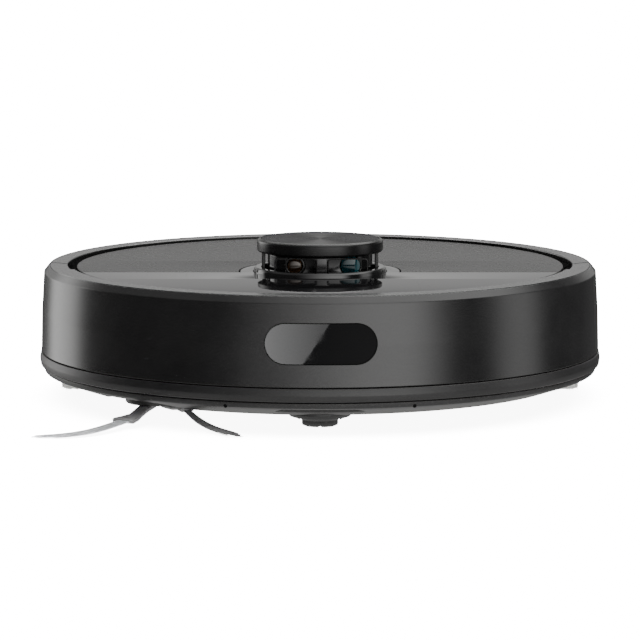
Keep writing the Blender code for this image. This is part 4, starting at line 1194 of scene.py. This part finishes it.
def build_wheel(side):
    lo, hi = node_box("tyre_" + side)
    centre = (lo + hi) / 2
    radius, half = (hi[2] - lo[2]) / 2, (hi[0] - lo[0]) / 2
    body = side + "_wheel"
    carcass = rounded([(26.3, -half), (radius - 2.4, -half), (radius - 1.6, -half + 1.2), (radius - 1.6, half - 1.2),
                       (radius - 2.4, half), (26.3, half)], [0.3, 1.0, 0.8, 0.8, 1.0, 0.3], 4)
    tyre = turned("carcass", carcass, (0, 0, 0), "X", 128)
    lugs = [tyre]
    count = 30
    for k in range(count):
        for row, x0, x1 in ((0, -half + 1.0, -0.6), (0.5, 0.6, half - 1.0)):
            lean = 0.16 if row == 0 else -0.16
            lug = box("lug", (x0, -1.9, radius - 2.2), (x1, 1.9, radius), 0.5)
            lug.data.transform(Matrix.Rotation(lean, 4, "Z"))
            lugs.append(moved(lug, (0, 0, 0), Matrix.Rotation(2 * math.pi * (k + row) / count, 3, "X")))
    for lug in lugs:
        smooth(lug)
    tread = moved(joined("wheel_tyre_" + side, lugs), centre)
    place(tread, body, RUBBER, "rubber", ["tyre_" + side])

    lo, hi = node_box("wheel_hub_" + side)
    radius, half = (hi[2] - lo[2]) / 2, (hi[0] - lo[0]) / 2
    profile = [(4.4, half), (9.0, half), (10.0, 7.0), (12.0, 6.4), (22.0, 6.8), (radius - 1.6, half - 0.5),
               (radius, half - 0.5), (radius, -half + 0.5), (radius - 1.6, -half + 0.5), (22.0, -6.8),
               (12.0, -6.4), (10.0, -7.0), (9.0, -half), (4.4, -half)]
    hub = turned("wheel_hub", rounded(profile, 0.5, 3), (0, 0, 0), "X", 96)
    cutters = []
    for k in range(6):
        outline = arc((0, 0), 20.0, -18, 18, 10) + arc((0, 0), 12.5, 14, -14, 8)
        for face in (-1, 1):
            pocket = extruded("pocket", rounded(outline, 0.8, 2), 4.6, 12)
            turn = Matrix.Rotation(math.radians(60 * k), 3, "Z")
            aim = Matrix.Rotation(face * math.pi / 2, 3, "Y")
            cutters.append(moved(pocket, (0, 0, 0), aim @ turn))
    cut(hub, *cutters)
    bevel(hub, 0.25, 50, 2)
    place(moved(hub, centre), body, GREY_PLASTIC, "grey_plastic", ["wheel_hub_" + side])


def build_caster():
    x, y = CASTER_AT
    lo, hi = node_box("caster_housing")
    radius = hi[0] - x
    points = [(3.0, hi[2]), (radius, hi[2]), (radius, lo[2] + 2.0), (radius - 1.1, lo[2]), (radius - 2.9, lo[2]),
              (radius - 2.9, hi[2] - 1.4), (3.0, hi[2] - 1.4)]
    housing = revolve("caster_cup", rounded(points, [0.3, 0.6, 0.8, 0.5, 0.3, 0.5, 0.3], 4), 128, centre=(x, y))
    place(housing, "root", CHASSIS_BLACK, "chassis_black", ["caster_housing"])

    lo, hi = node_box("caster_fork")
    radius = 15.8
    points = [(0, 22.2), (radius, 22.2), (radius, lo[2] + 2.0), (radius - 2.0, lo[2]), (0, lo[2])]
    fork = revolve("caster_yoke", rounded(points, [0, 0.6, 0.8, 0.6, 0], 4), 128, centre=(x, y), closed=False)
    pin = rod("pin", (x, y, 18), (x, y, hi[2]), 2.5, 0.4, 48)
    cut(fork, pin, operation="UNION")
    wheel = middle("caster_wheel")
    arch = [(px, pz) for px, pz in arc((wheel[1], wheel[2]), 11.2, 0, 180, 32)]
    arch += [(wheel[1] - 11.2, -5), (wheel[1] + 11.2, -5)]
    slot = extruded("slot", arch, -11.6, 11.6)
    turn = Matrix(((0, 0, 1), (1, 0, 0), (0, 1, 0)))
    moved(slot, (0, 0, 0), turn)
    hole = rod("hole", (-20, wheel[1], wheel[2]), (20, wheel[1], wheel[2]), 1.7, 0, 32)
    cut(fork, slot, hole)
    place(bevel(fork, 0.3, 50, 2), "caster_swivel", CHASSIS_BLACK, "chassis_black", ["caster_fork"])
    lo, hi = node_box("caster_axle")
    axle = rod("caster_pin", (lo[0], wheel[1], wheel[2]), (hi[0], wheel[1], wheel[2]), (hi[2] - lo[2]) / 2, 0.3, 32)
    place(axle, "caster_swivel", STEEL, "steel", ["caster_axle"])

    lo, hi = node_box("caster_wheel")
    half, radius = hi[0], (hi[2] - lo[2]) / 2
    points = [(1.7, half), (5.2, half), (5.6, half - 1.2), (7.4, half - 1.2), (7.8, half - 0.3), (9.0, half - 0.9),
              (radius - 0.35, half - 4.0), (radius, 3.0), (radius, 0.9), (radius - 0.5, 0.5)]
    points += [(r, -z) for r, z in reversed(points)]
    roller = turned("caster_roll", rounded(points, [0.2, 0.3, 0.3, 0.3, 0.5, 1.0, 2.0, 0.5, 0.3, 0.1] * 2, 3),
                    wheel, "X", 96)
    place(roller, "caster_roller", RUBBER, "rubber", ["caster_wheel"])


# ---------------------------------------------------------------- roller

def build_roller():
    node = "roller_brush"
    lo, hi = node_box(node)
    centre = middle(node)
    axis_y, axis_z = centre[1], centre[2]
    half, reach = 70.0, (hi[2] - lo[2]) / 2 + 2.4
    core = turned("core", rounded([(0, -half), (10.2, -half), (10.2, half), (0, half)], [0, 0.6, 0.6, 0], 4),
                  (0, 0, 0), "X", 64, closed=False)
    shaft = rod("shaft", (lo[0], 0, 0), (hi[0], 0, 0), 3.4, 0.5, 32)
    rings = [turned("ring", rounded([(10.0, x - 1.0), (12.5, x - 1.0), (12.5, x + 1.0), (10.0, x + 1.0)], 0.4, 3),
                    (0, 0, 0), "X", 64) for x in (-half + 1.2, half - 1.2)]
    for piece in [core, shaft] + rings:
        smooth(piece)
    place(moved(joined("roller_core", [core, shaft] + rings), (0, axis_y, axis_z)), "roller",
          GREY_PLASTIC, "rubber", [node])

    blade_verts, blade_faces = [], []
    stations = 56
    section = [(9.8, -1.1), (14.0, -0.75), (21.6, -0.45), (22.0, 0.0), (21.6, 0.45), (14.0, 0.75), (9.8, 1.1)]
    strands = []
    rng = random.Random(SEED + 1)

    def twist(x):
        """A chevron: the rows lean one way to the middle and back again."""
        return 0.62 * abs(x) / half

    for row in range(6):
        start = 2 * math.pi * row / 6
        if row % 2 == 0:
            base = len(blade_verts)
            for k in range(stations + 1):
                x = -half + 2.6 + (2 * half - 5.2) * k / stations
                angle = start + twist(x)
                for r, w in section:
                    py = r * math.cos(angle) - w * math.sin(angle)
                    pz = r * math.sin(angle) + w * math.cos(angle)
                    blade_verts.append((x, py, pz))
            size = len(section)
            for k in range(stations):
                for i in range(size):
                    j = (i + 1) % size
                    here, there = base + k * size, base + (k + 1) * size
                    blade_faces.append((here + i, here + j, there + j, there + i))
            blade_faces.append(tuple(range(base, base + size)))
            blade_faces.append(tuple(range(base + stations * size, base + (stations + 1) * size))[::-1])
        else:
            for k in range(92):
                x = -half + 3.4 + (2 * half - 6.8) * k / 91
                for _ in range(7):
                    angle = start + twist(x) + rng.uniform(-0.05, 0.05)
                    lean = rng.uniform(-0.06, 0.06)
                    tip_r = 22.0 - rng.uniform(0.0, 0.9)
                    px = x + rng.uniform(-0.7, 0.7)
                    path = []
                    for r in (9.6, 16.0, tip_r):
                        a = angle + lean * (r - 9.6) / 12
                        drift = (r - 9.6) * rng.uniform(-0.03, 0.03)
                        path.append(((px + drift, r * math.cos(a), r * math.sin(a)), 0.16))
                    strands.append(path)
    blades = moved(mesh_object("roller_blades", blade_verts, blade_faces), (0, axis_y, axis_z))
    place(blades, "roller", BLADE_RUBBER, "rubber")
    tufts = moved(tube("roller_bristles", strands, 3), (0, axis_y, axis_z))
    place(tufts, "roller", ROLLER_BRISTLE, "rubber")


def build_guard():
    lo, hi = node_box("brush_guard")
    hole = rectangle(-70.8, -50, 70.8, -10, 2.0)
    guard = plate("guard_frame", [rectangle(lo[0], lo[1], hi[0], hi[1], 3.0), hole], lo[2], hi[2], 0.9, 4)
    place(guard, "guard", GREY_PLASTIC, "grey_plastic", ["brush_guard"])
    clips = []
    for side in (-1, 1):
        x = side * 73.1
        clips.append(box("clip", (x - 1.8, -38, lo[2] - 0.25), (x + 1.8, -22, lo[2] + 1.4), 0.5))
        for k in range(5):
            clips.append(box("rib", (x - 1.5, -36 + 3 * k, lo[2] - 0.28), (x + 1.5, -35 + 3 * k, lo[2] + 0.4), 0.15))
    for clip in clips:
        smooth(clip)
    place(joined("guard_clips", clips), "guard", RED_PLASTIC, "grey_plastic")
    blade = box("wiper", (-68, hi[1] - 3.2, lo[2] - 2.2), (68, hi[1] - 2.0, lo[2] + 1.0), 0.3)
    place(blade, "guard", BLADE_RUBBER, "rubber")


# ---------------------------------------------------------------- side brush

ARM_PATHS = {   # moulded arm's tip, the bristles' bend and their far end, all beside the hub's centre
    "left_arm": ((-17.5, -36, -3.4), (-41, -73, -6.4), (-71, -75, -6.9)),
    "right_arm": ((17, -25, 1.6), (30, -52, -5.4), (53, -76, -6.9)),
    "rear_arm": ((4, 29, 1.6), (8, 56, -5.4), (12, 82, -6.8)),
}
ARM_WIDTHS = {"left_arm": 7.6, "right_arm": 4.6, "rear_arm": 4.6}   # half the width at the tip
BRUSH_Z = 8.0
FORK_DEPTH = 4.0


def along(points, t):
    """A point on a smooth line through three or more points, and the direction there."""
    points = [Vector(p) for p in points]
    while len(points) > 2:
        points = [a.lerp(b, t) for a, b in zip(points, points[1:])]
    return points[0].lerp(points[1], t), (points[1] - points[0]).normalized()


def moulded_arm(tip, wide):
    """A flat arm that leaves the hub narrow and widens to a cupped, forked end."""
    tip = Vector(tip)
    out = Vector((tip.x, tip.y, 0)).normalized()
    side = Vector((-out.y, out.x, 0))
    reach = Vector((tip.x, tip.y, 0)).length
    verts, faces = [], []
    stations = [(10.0, 4.6, 3.2, 1.6), (0.50 * reach, 4.3, 3.0, 0.8 + 0.3 * tip.z), (0.70 * reach, 4.4, 2.6, 0.7 * tip.z),
                (0.86 * reach, 0.82 * wide, 3.0, tip.z + 0.4), (reach + 1.0, wide, 3.6, tip.z + 0.1)]
    ring = 24
    for station, (distance, width, thick, z) in enumerate(stations):
        for k in range(ring):
            angle = 2 * math.pi * k / ring
            share = math.copysign(abs(math.cos(angle)) ** 0.55, math.cos(angle))
            up = thick / 2 * math.copysign(abs(math.sin(angle)) ** 0.55, math.sin(angle))
            fork = FORK_DEPTH * (abs(share) - 0.5) if station == len(stations) - 1 else 0.0
            point = out * (distance + fork) + side * width * share + Vector((0, 0, z + up))
            verts.append(tuple(point))
    last = len(stations) - 1
    for s in range(last):
        for k in range(ring):
            j = (k + 1) % ring
            faces.append((s * ring + k, s * ring + j, (s + 1) * ring + j, (s + 1) * ring + k))
    faces.append(tuple(range(ring))[::-1])
    start = last * ring
    for k in range(ring // 4):                      # the forked end, closed in strips from side to side
        faces.append((start + k, start + k + 1, start + ring // 2 - k - 1, start + ring // 2 - k))
        faces.append((start + (ring - k) % ring, start + ring // 2 + k, start + ring // 2 + k + 1,
                      start + ring - k - 1))
    arm = mesh_object("arm", verts, faces)
    return bevel(arm, 0.35, 50, 2)


def tuft(path, count, spread, thick, rng, splay, ends):
    """Bristles that leave the arm side by side and gather into a few separate ends."""
    strands = []
    _, heading = along(path, 0)
    across = Vector((-heading.y, heading.x, 0)).normalized()
    for k in range(count):
        lane = (k + 0.5) / count * 2 - 1
        gathered = (math.floor((lane + 1) / 2 * ends) + 0.5) / ends * 2 - 1
        lane += rng.uniform(-0.06, 0.06)
        lift = rng.uniform(-0.5, 0.5)
        reach = 1.0 - 0.10 * abs(lane) - rng.uniform(0.0, 0.07)
        strand = []
        for s in range(11):
            t = reach * s / 10
            point, _ = along(path, t)
            now = lane + (gathered - lane) * 0.7 * t ** 2
            fan = spread * (1 + splay * t ** 1.4) * now
            z = point.z + lift * (0.6 + 0.7 * t) + rng.uniform(-0.05, 0.05)
            point = point + across * fan
            strand.append(((point.x, point.y, max(z, -7.3)), thick * (1.0 - 0.35 * t)))
        strands.append(strand)
    return strands


def build_side_brush():
    at = (BRUSH_AT[0], BRUSH_AT[1], BRUSH_Z)
    rng = random.Random(SEED + 2)
    profile = [(0, 5.8), (19.6, 5.8), (19.6, 2.9), (18.8, 2.0), (0, 2.0)]
    disc = revolve("disc", rounded(profile, [0, 0.5, 0.8, 0.6, 0], 4), 96, closed=False)
    boss = revolve("boss", rounded([(0, 0.3), (5.4, 0.3), (6.2, 1.1), (6.2, 2), (0, 2)],
                                   [0, 0.6, 0.4, 0, 0], 4), 64, closed=False)
    shaft = rod("shaft", (0, 0, 4.5), (0, 0, 10.0), 3.4, 0.4, 32)
    for piece in (disc, boss, shaft):
        smooth(piece)
    place(moved(joined("brush_disc", [disc, boss, shaft]), at), "side_brush", CHASSIS_BLACK, "grey_plastic",
          ["side_brush_hub"])
    place(moved(screw(0, 0, 0.35), at), "side_brush", STEEL, "steel").name = "brush_screw"

    for name, (tip, bend, end) in ARM_PATHS.items():
        arm = moulded_arm(tip, ARM_WIDTHS[name])
        place(moved(arm, at), "side_brush", ARM_GREY, "grey_plastic").name = "brush_" + name
        start = Vector(tip).lerp(Vector(bend), 0.02)
        path = [tuple(start), tuple(Vector(tip).lerp(Vector(bend), 0.75)), bend, end]
        dark = name == "right_arm"
        if dark:
            strands = tuft(path, 60, 2.3, 0.19, rng, 1.2, 4)
        else:
            strands = tuft(path, 90, 4.2, 0.20, rng, 0.5, 6)
        node = "bristles_" + name
        hair = moved(tube("brush_hair_" + name, strands, 5), at)
        place(hair, "side_brush", BRISTLE_DARK if dark else BRISTLE_PALE, "bristle_grey", [node])


# ---------------------------------------------------------------- mop

MOP_LO, MOP_HI = node_box("mop_plate")
PAD_LO, PAD_HI = node_box("mop_pad")
EAR_X = 134.5
MOP_FRONT_Y = 62.0


def mop_outline(inset, corner=2.5):
    """The D shape with two forward ears, inset from the plate's edge."""
    radius = MOP_HI[1] - inset
    ear_y = MOP_LO[1] + inset
    low_angle = math.degrees(math.asin(ear_y / radius))
    outer = arc((0, 0), radius, low_angle, 180 - low_angle, 220)
    x, front = EAR_X + inset, MOP_FRONT_Y + inset
    path = outer + [(-x, ear_y), (-x, front), (x, front), (x, ear_y)]
    radii = [corner] + [0] * 219 + [corner] * 5
    return rounded(path, radii, 5)


def build_mop_plate():
    plate_piece = plate("mop_holder", [mop_outline(0.3)], MOP_LO[2], MOP_HI[2], 0.8, 3)
    place(plate_piece, "mop", CHASSIS_BLACK, "chassis_black", ["mop_plate"])


def build_mop_pad():
    """A stuffed pad: pillowed edge, stitched channels and a looped pile."""
    low, high = PAD_LO[2] + 0.5, PAD_HI[2]
    pad = plate("mop_cloth", [mop_outline(0.5, 1.5)], low, high, 1.4, 4)
    step = pad.modifiers.new("cells", "REMESH")
    step.mode = "VOXEL"
    step.voxel_size = 1.15 * MM
    apply(pad)
    mesh = pad.data
    co = np.empty(len(mesh.vertices) * 3)
    mesh.vertices.foreach_get("co", co)
    co = co.reshape(-1, 3) / MM
    normal = np.empty(len(mesh.vertices) * 3)
    mesh.vertices.foreach_get("normal", normal)
    normal = normal.reshape(-1, 3)
    rng = np.random.default_rng(SEED)
    under = np.clip((3.4 - co[:, 2]) / 2.0, 0, 1)
    outward = np.clip(np.hypot(normal[:, 0], normal[:, 1]) * 1.2, 0, 1)
    channel = np.abs((co[:, 0] + 13.5) % 27.0 - 13.5)
    groove = np.exp(-(channel / 1.5) ** 2)
    pillow = 0.35 * np.cos(np.clip(channel / 13.5, 0, 1) * math.pi / 2)
    rough = rng.uniform(-1, 1, len(co))
    co[:, 2] += under * (1.25 * groove - 0.2 + pillow * 0.3) * (1 - outward * 0.5)
    push = (0.16 + 0.22 * outward) * rough
    push[co[:, 2] > high - 0.9] *= 0.1
    co += normal * push[:, None]
    co[:, 2] = np.clip(co[:, 2], PAD_LO[2] + 0.1, high)
    mesh.vertices.foreach_set("co", (co * MM).ravel())
    mesh.update()
    place(pad, "mop", MOP_PILE, "mop_white", ["mop_pad"], angle=180)
    return pad


def build_mop_fibres():
    """Loose ends of the pile round the pad's edge and on its underside."""
    rng = random.Random(SEED + 3)
    edge = mop_outline(1.6, 4.0)
    loose = []
    count = len(edge)
    for i in range(count):
        a, b = Vector((*edge[i], 0)), Vector((*edge[(i + 1) % count], 0))
        length = (b - a).length
        if length < 1e-6:
            continue
        out = Vector((b.y - a.y, a.x - b.x, 0)).normalized()
        for _ in range(max(1, round(length * 3.2))):
            spot = a.lerp(b, rng.random())
            z = rng.uniform(1.0, 5.4)
            reach = rng.uniform(1.0, 2.3)
            droop = rng.uniform(-0.9, 0.3)
            along_edge = (b - a).normalized() * rng.uniform(-0.8, 0.8)
            start = spot - out * 0.6 + Vector((0, 0, z))
            mid = start + out * reach * 0.6 + along_edge * 0.5 + Vector((0, 0, 0.2))
            end = start + out * reach + along_edge + Vector((0, 0, droop))
            end.z = max(end.z, 0.15)
            loose.append([(tuple(start), 0.26), (tuple(mid), 0.24), (tuple(end), 0.15)])
    for _ in range(5200):
        angle = rng.uniform(0.06, math.pi - 0.06)
        radius = math.sqrt(rng.uniform(0.10, 1.0)) * (MOP_HI[1] - 4.0)
        x, y = radius * math.cos(angle), radius * math.sin(angle)
        if (abs(x) < EAR_X + 4 and y < MOP_FRONT_Y + 4) or y < MOP_LO[1] + 4:
            continue
        if abs((x + 13.5) % 27.0 - 13.5) < 1.6:
            continue
        lean = Vector((rng.uniform(-1, 1), rng.uniform(-1, 1), 0)) * 1.1
        start = Vector((x, y, 1.5))
        end = start + lean
        end.z = rng.uniform(0.08, 0.4)
        mid = start.lerp(end, 0.5) + Vector((rng.uniform(-0.3, 0.3), rng.uniform(-0.3, 0.3), -0.3))
        loose.append([(tuple(start), 0.34), (tuple(mid), 0.30), (tuple(end), 0.18)])
    place(tube("mop_pile_ends", loose, 4), "mop", MOP_FIBRE, "mop_white")


def build_mop_binding():
    """The binding that holds the cloth on the plate, with its stitches."""
    edge = mop_outline(0.25, 3.0)
    count = len(edge)
    section = [(0.0, 4.6), (0.55, 4.8), (0.75, 6.2), (0.6, 7.7), (0.0, 8.0), (-0.2, 7.6), (0.2, 6.2), (-0.2, 5.0)]
    verts, faces = [], []
    for i in range(count):
        ahead = Vector((*edge[(i + 1) % count], 0)) - Vector((*edge[i - 1], 0))
        out = Vector((ahead.y, -ahead.x, 0)).normalized()
        for grow, z in section:
            spot = Vector((*edge[i], z)) + out * (grow - 0.35)
            verts.append(tuple(spot))
    size = len(section)
    for i in range(count):
        here, there = i * size, ((i + 1) % count) * size
        for k in range(size):
            j = (k + 1) % size
            faces.append((here + k, here + j, there + j, there + k))
    place(mesh_object("mop_binding", verts, faces), "mop", MOP_TAPE, "mop_white", angle=60)
    stitches = []
    distance, spacing = 0.0, 3.2
    for i in range(count):
        a, b = Vector((*edge[i], 0)), Vector((*edge[(i + 1) % count], 0))
        length = (b - a).length
        if length < 1e-6:
            continue
        ahead = (b - a) / length
        out = Vector((ahead.y, -ahead.x, 0))
        while distance < length:
            spot = a + ahead * distance + out * 0.42 + Vector((0, 0, 5.5))
            stitches.append([(tuple(spot - ahead * 0.9 - out * 0.25), 0.16), (tuple(spot), 0.2),
                             (tuple(spot + ahead * 0.9 - out * 0.25), 0.16)])
            distance += spacing
        distance -= length
    place(tube("mop_stitches", stitches, 5), "mop", MOP_FIBRE, "mop_white")


# ---------------------------------------------------------------- studio

CAMERA_TILT = 7.61              # degrees below the horizon
CAMERA_AT = (0.0, -2.200, 0.340)
FLOOR_GLOW = 9.0                # keeps contact shadows on the white floor pale
FLOOR_SUN = 62.0                # lights the floor alone, from a sky-wide disc


def build_floor():
    """A white sweep; only the floor gets the sun, so the body keeps its own studio reflections."""
    bpy.ops.mesh.primitive_plane_add(size=24, location=(0, 0, 0))
    floor = bpy.context.object
    floor.name = "floor"
    n = Nodes("floor_white")
    n.colour(n.mix(n.noise(3, 2), (0.52, 0.52, 0.52), (0.54, 0.54, 0.54)))
    n.fixed(Roughness=0.9, Specular_IOR_Level=0.1, Emission_Strength=FLOOR_GLOW)
    n.shader.inputs["Emission Color"].default_value = (1, 1, 1, 1)
    from_above = n.add("MixShader")                # seen from below, the floor is clear
    side = n.add("NewGeometry")
    n.link(side.outputs["Backfacing"], from_above.inputs[0])
    n.link(n.shader.outputs[0], from_above.inputs[1])
    n.link(n.add("BsdfTransparent").outputs[0], from_above.inputs[2])
    n.link(from_above.outputs[0], n.tree.nodes["Material Output"].inputs["Surface"])
    floor.data.materials.append(n.material)
    floor.visible_glossy = False
    floor.visible_diffuse = False
    floor.visible_shadow = False
    data = bpy.data.lights.new("floor_sun", "SUN")
    data.energy = FLOOR_SUN
    data.angle = math.radians(100)
    sun = bpy.data.objects.new("floor_sun", data)
    sun.location = (0, 0, 3)
    bpy.context.scene.collection.objects.link(sun)
    only_floor = bpy.data.collections.new("floor_only")
    only_floor.objects.link(floor)
    sun.light_linking.receiver_collection = only_floor


def build_light():
    """One soft surround: a wide softbox overhead, a pale wall behind and upright strips beside the camera."""
    world = bpy.data.worlds.new("studio")
    bpy.context.scene.world = world
    world.use_nodes = True
    tree = world.node_tree
    tree.nodes.clear()

    def add(kind, **settings):
        node = tree.nodes.new("ShaderNode" + kind)
        for key, value in settings.items():
            setattr(node, key, value)
        return node

    def calc(operation, first, second=0.0):
        node = add("Math", operation=operation)
        for socket, value in zip(node.inputs, (first, second)):
            if isinstance(value, (int, float)):
                socket.default_value = value
            else:
                tree.links.new(value, socket)
        return node.outputs[0]

    def ramp(value, low, high, to_low=0.0, to_high=1.0):
        node = add("MapRange", interpolation_type="SMOOTHSTEP")
        tree.links.new(value, node.inputs["Value"])
        for name, number in zip(("From Min", "From Max", "To Min", "To Max"), (low, high, to_low, to_high)):
            node.inputs[name].default_value = number
        return node.outputs["Result"]

    place_node = add("TexCoord")
    split = add("SeparateXYZ")
    tree.links.new(place_node.outputs["Generated"], split.inputs[0])
    x, y, z = split.outputs
    azimuth = calc("ARCTAN2", x, calc("MULTIPLY", y, -1.0))
    behind = ramp(y, 0.55, 0.88)
    tilt = ramp(x, -0.50, 0.32, 0.12, 1.0)          # the overhead box is dimmer on the left
    band = calc("MULTIPLY", ramp(z, 0.01, 0.06), ramp(z, 0.36, 0.22, WALL_FADE))
    wall = calc("MULTIPLY", calc("MULTIPLY", band, behind), WALL_LIGHT)
    above = calc("MULTIPLY", ramp(z, 0.50, 0.72, 0.0, OVERHEAD_LIGHT), tilt)
    level = calc("ADD", calc("ADD", wall, LOW_LIGHT), above)
    level = calc("ADD", level, ramp(z, -0.22, -0.50, 0.0, UNDER_LIGHT))
    low_mask = calc("MULTIPLY", ramp(z, -0.32, -0.17), ramp(z, 0.55, 0.30))
    for centre, left_soft, half, right_soft, strength in STRIPS:
        left = ramp(azimuth, math.radians(centre - half - left_soft), math.radians(centre - half))
        right = ramp(azimuth, math.radians(centre + half + right_soft), math.radians(centre + half))
        strip = calc("MULTIPLY", calc("MULTIPLY", left, right), strength)
        level = calc("ADD", level, calc("MULTIPLY", strip, low_mask))
    rear = ramp(calc("ABSOLUTE", azimuth), math.radians(150), math.radians(172))
    tall = calc("MULTIPLY", ramp(z, 0.45, 0.58), ramp(z, 0.95, 0.80))
    level = calc("ADD", level, calc("MULTIPLY", calc("MULTIPLY", rear, tall), REAR_LIGHT))
    background = add("Background")
    tree.links.new(level, background.inputs["Strength"])
    background.inputs["Color"].default_value = (1.0, 0.995, 0.985, 1.0)
    output = add("OutputWorld")
    tree.links.new(background.outputs[0], output.inputs["Surface"])


LOW_LIGHT = 0.10                # what the wall of the body mirrors between the strips
WALL_LIGHT = 0.50
WALL_FADE = 0.35                # share of the rear wall's light left above its bright lower band
OVERHEAD_LIGHT = 3.0
UNDER_LIGHT = 1.0
REAR_LIGHT = 9.0                # a narrow box high behind, for the spun cap's highlight
STRIPS = (      # azimuth from the camera, left softness, half-width, right softness (degrees), strength
    (-131, 12, 8, 13, 2.8),
    (34, 78, 2, 22, 3.6),
    (87, 13, 4, 15, 1.8),
)


def build_window_card():
    """A white card in front, below floor level, that only the sensor window mirrors."""
    n = Nodes("card_white")
    x = n.add("SeparateXYZ")
    n.link(n.place, x.inputs[0])
    n.colour(n.mix(n.noise(4, 2), (0.80, 0.80, 0.80), (0.84, 0.84, 0.84)))
    n.shader.inputs["Emission Color"].default_value = (1, 1, 1, 1)
    n.link(n.remap(x.outputs[0], *CARD_FADE, *CARD_GLOW), n.shader.inputs["Emission Strength"])
    card = mesh_object("window_card", [(x, CARD_Y, z) for x, z in CARD_OUTLINE], [(0, 1, 2, 3)])
    card.data.materials.append(n.material)
    window_only = bpy.data.collections.new("window_only")
    window_only.objects.link(bpy.data.objects["sensor_window"])
    card.light_linking.receiver_collection = window_only
    card.visible_camera = False
    card.visible_diffuse = False
    card.visible_shadow = False


CARD_Y = -1700
CARD_OUTLINE = ((-1000, -220), (-448, -220), (368, -100), (-1000, -100))
CARD_FADE = (-0.65, 0.05)       # metres across the card, from its bright side to its dim side
CARD_GLOW = (76.0, 30.0)


def build_camera():
    data = bpy.data.cameras.new("camera")
    data.sensor_width = 36
    data.lens = 199.4
    data.clip_end = 60
    camera = bpy.data.objects.new("camera", data)
    camera.location = CAMERA_AT
    camera.rotation_euler = (math.radians(90 - CAMERA_TILT), 0, 0)
    bpy.context.scene.collection.objects.link(camera)
    bpy.context.scene.camera = camera


build_front()
build_skirts()
build_rear()
build_covers()
build_rim_details()
build_collar()
build_head()
build_cap()
build_drive_of_turret()
build_base()
build_tub()
build_battery_door()
build_inner_parts()
build_bin_top()
build_wheel("left")
build_wheel("right")
build_caster()
build_roller()
build_guard()
build_side_brush()
build_mop_plate()
build_mop_pad()
build_mop_fibres()
build_mop_binding()
build_floor()
build_light()
build_window_card()
build_camera()
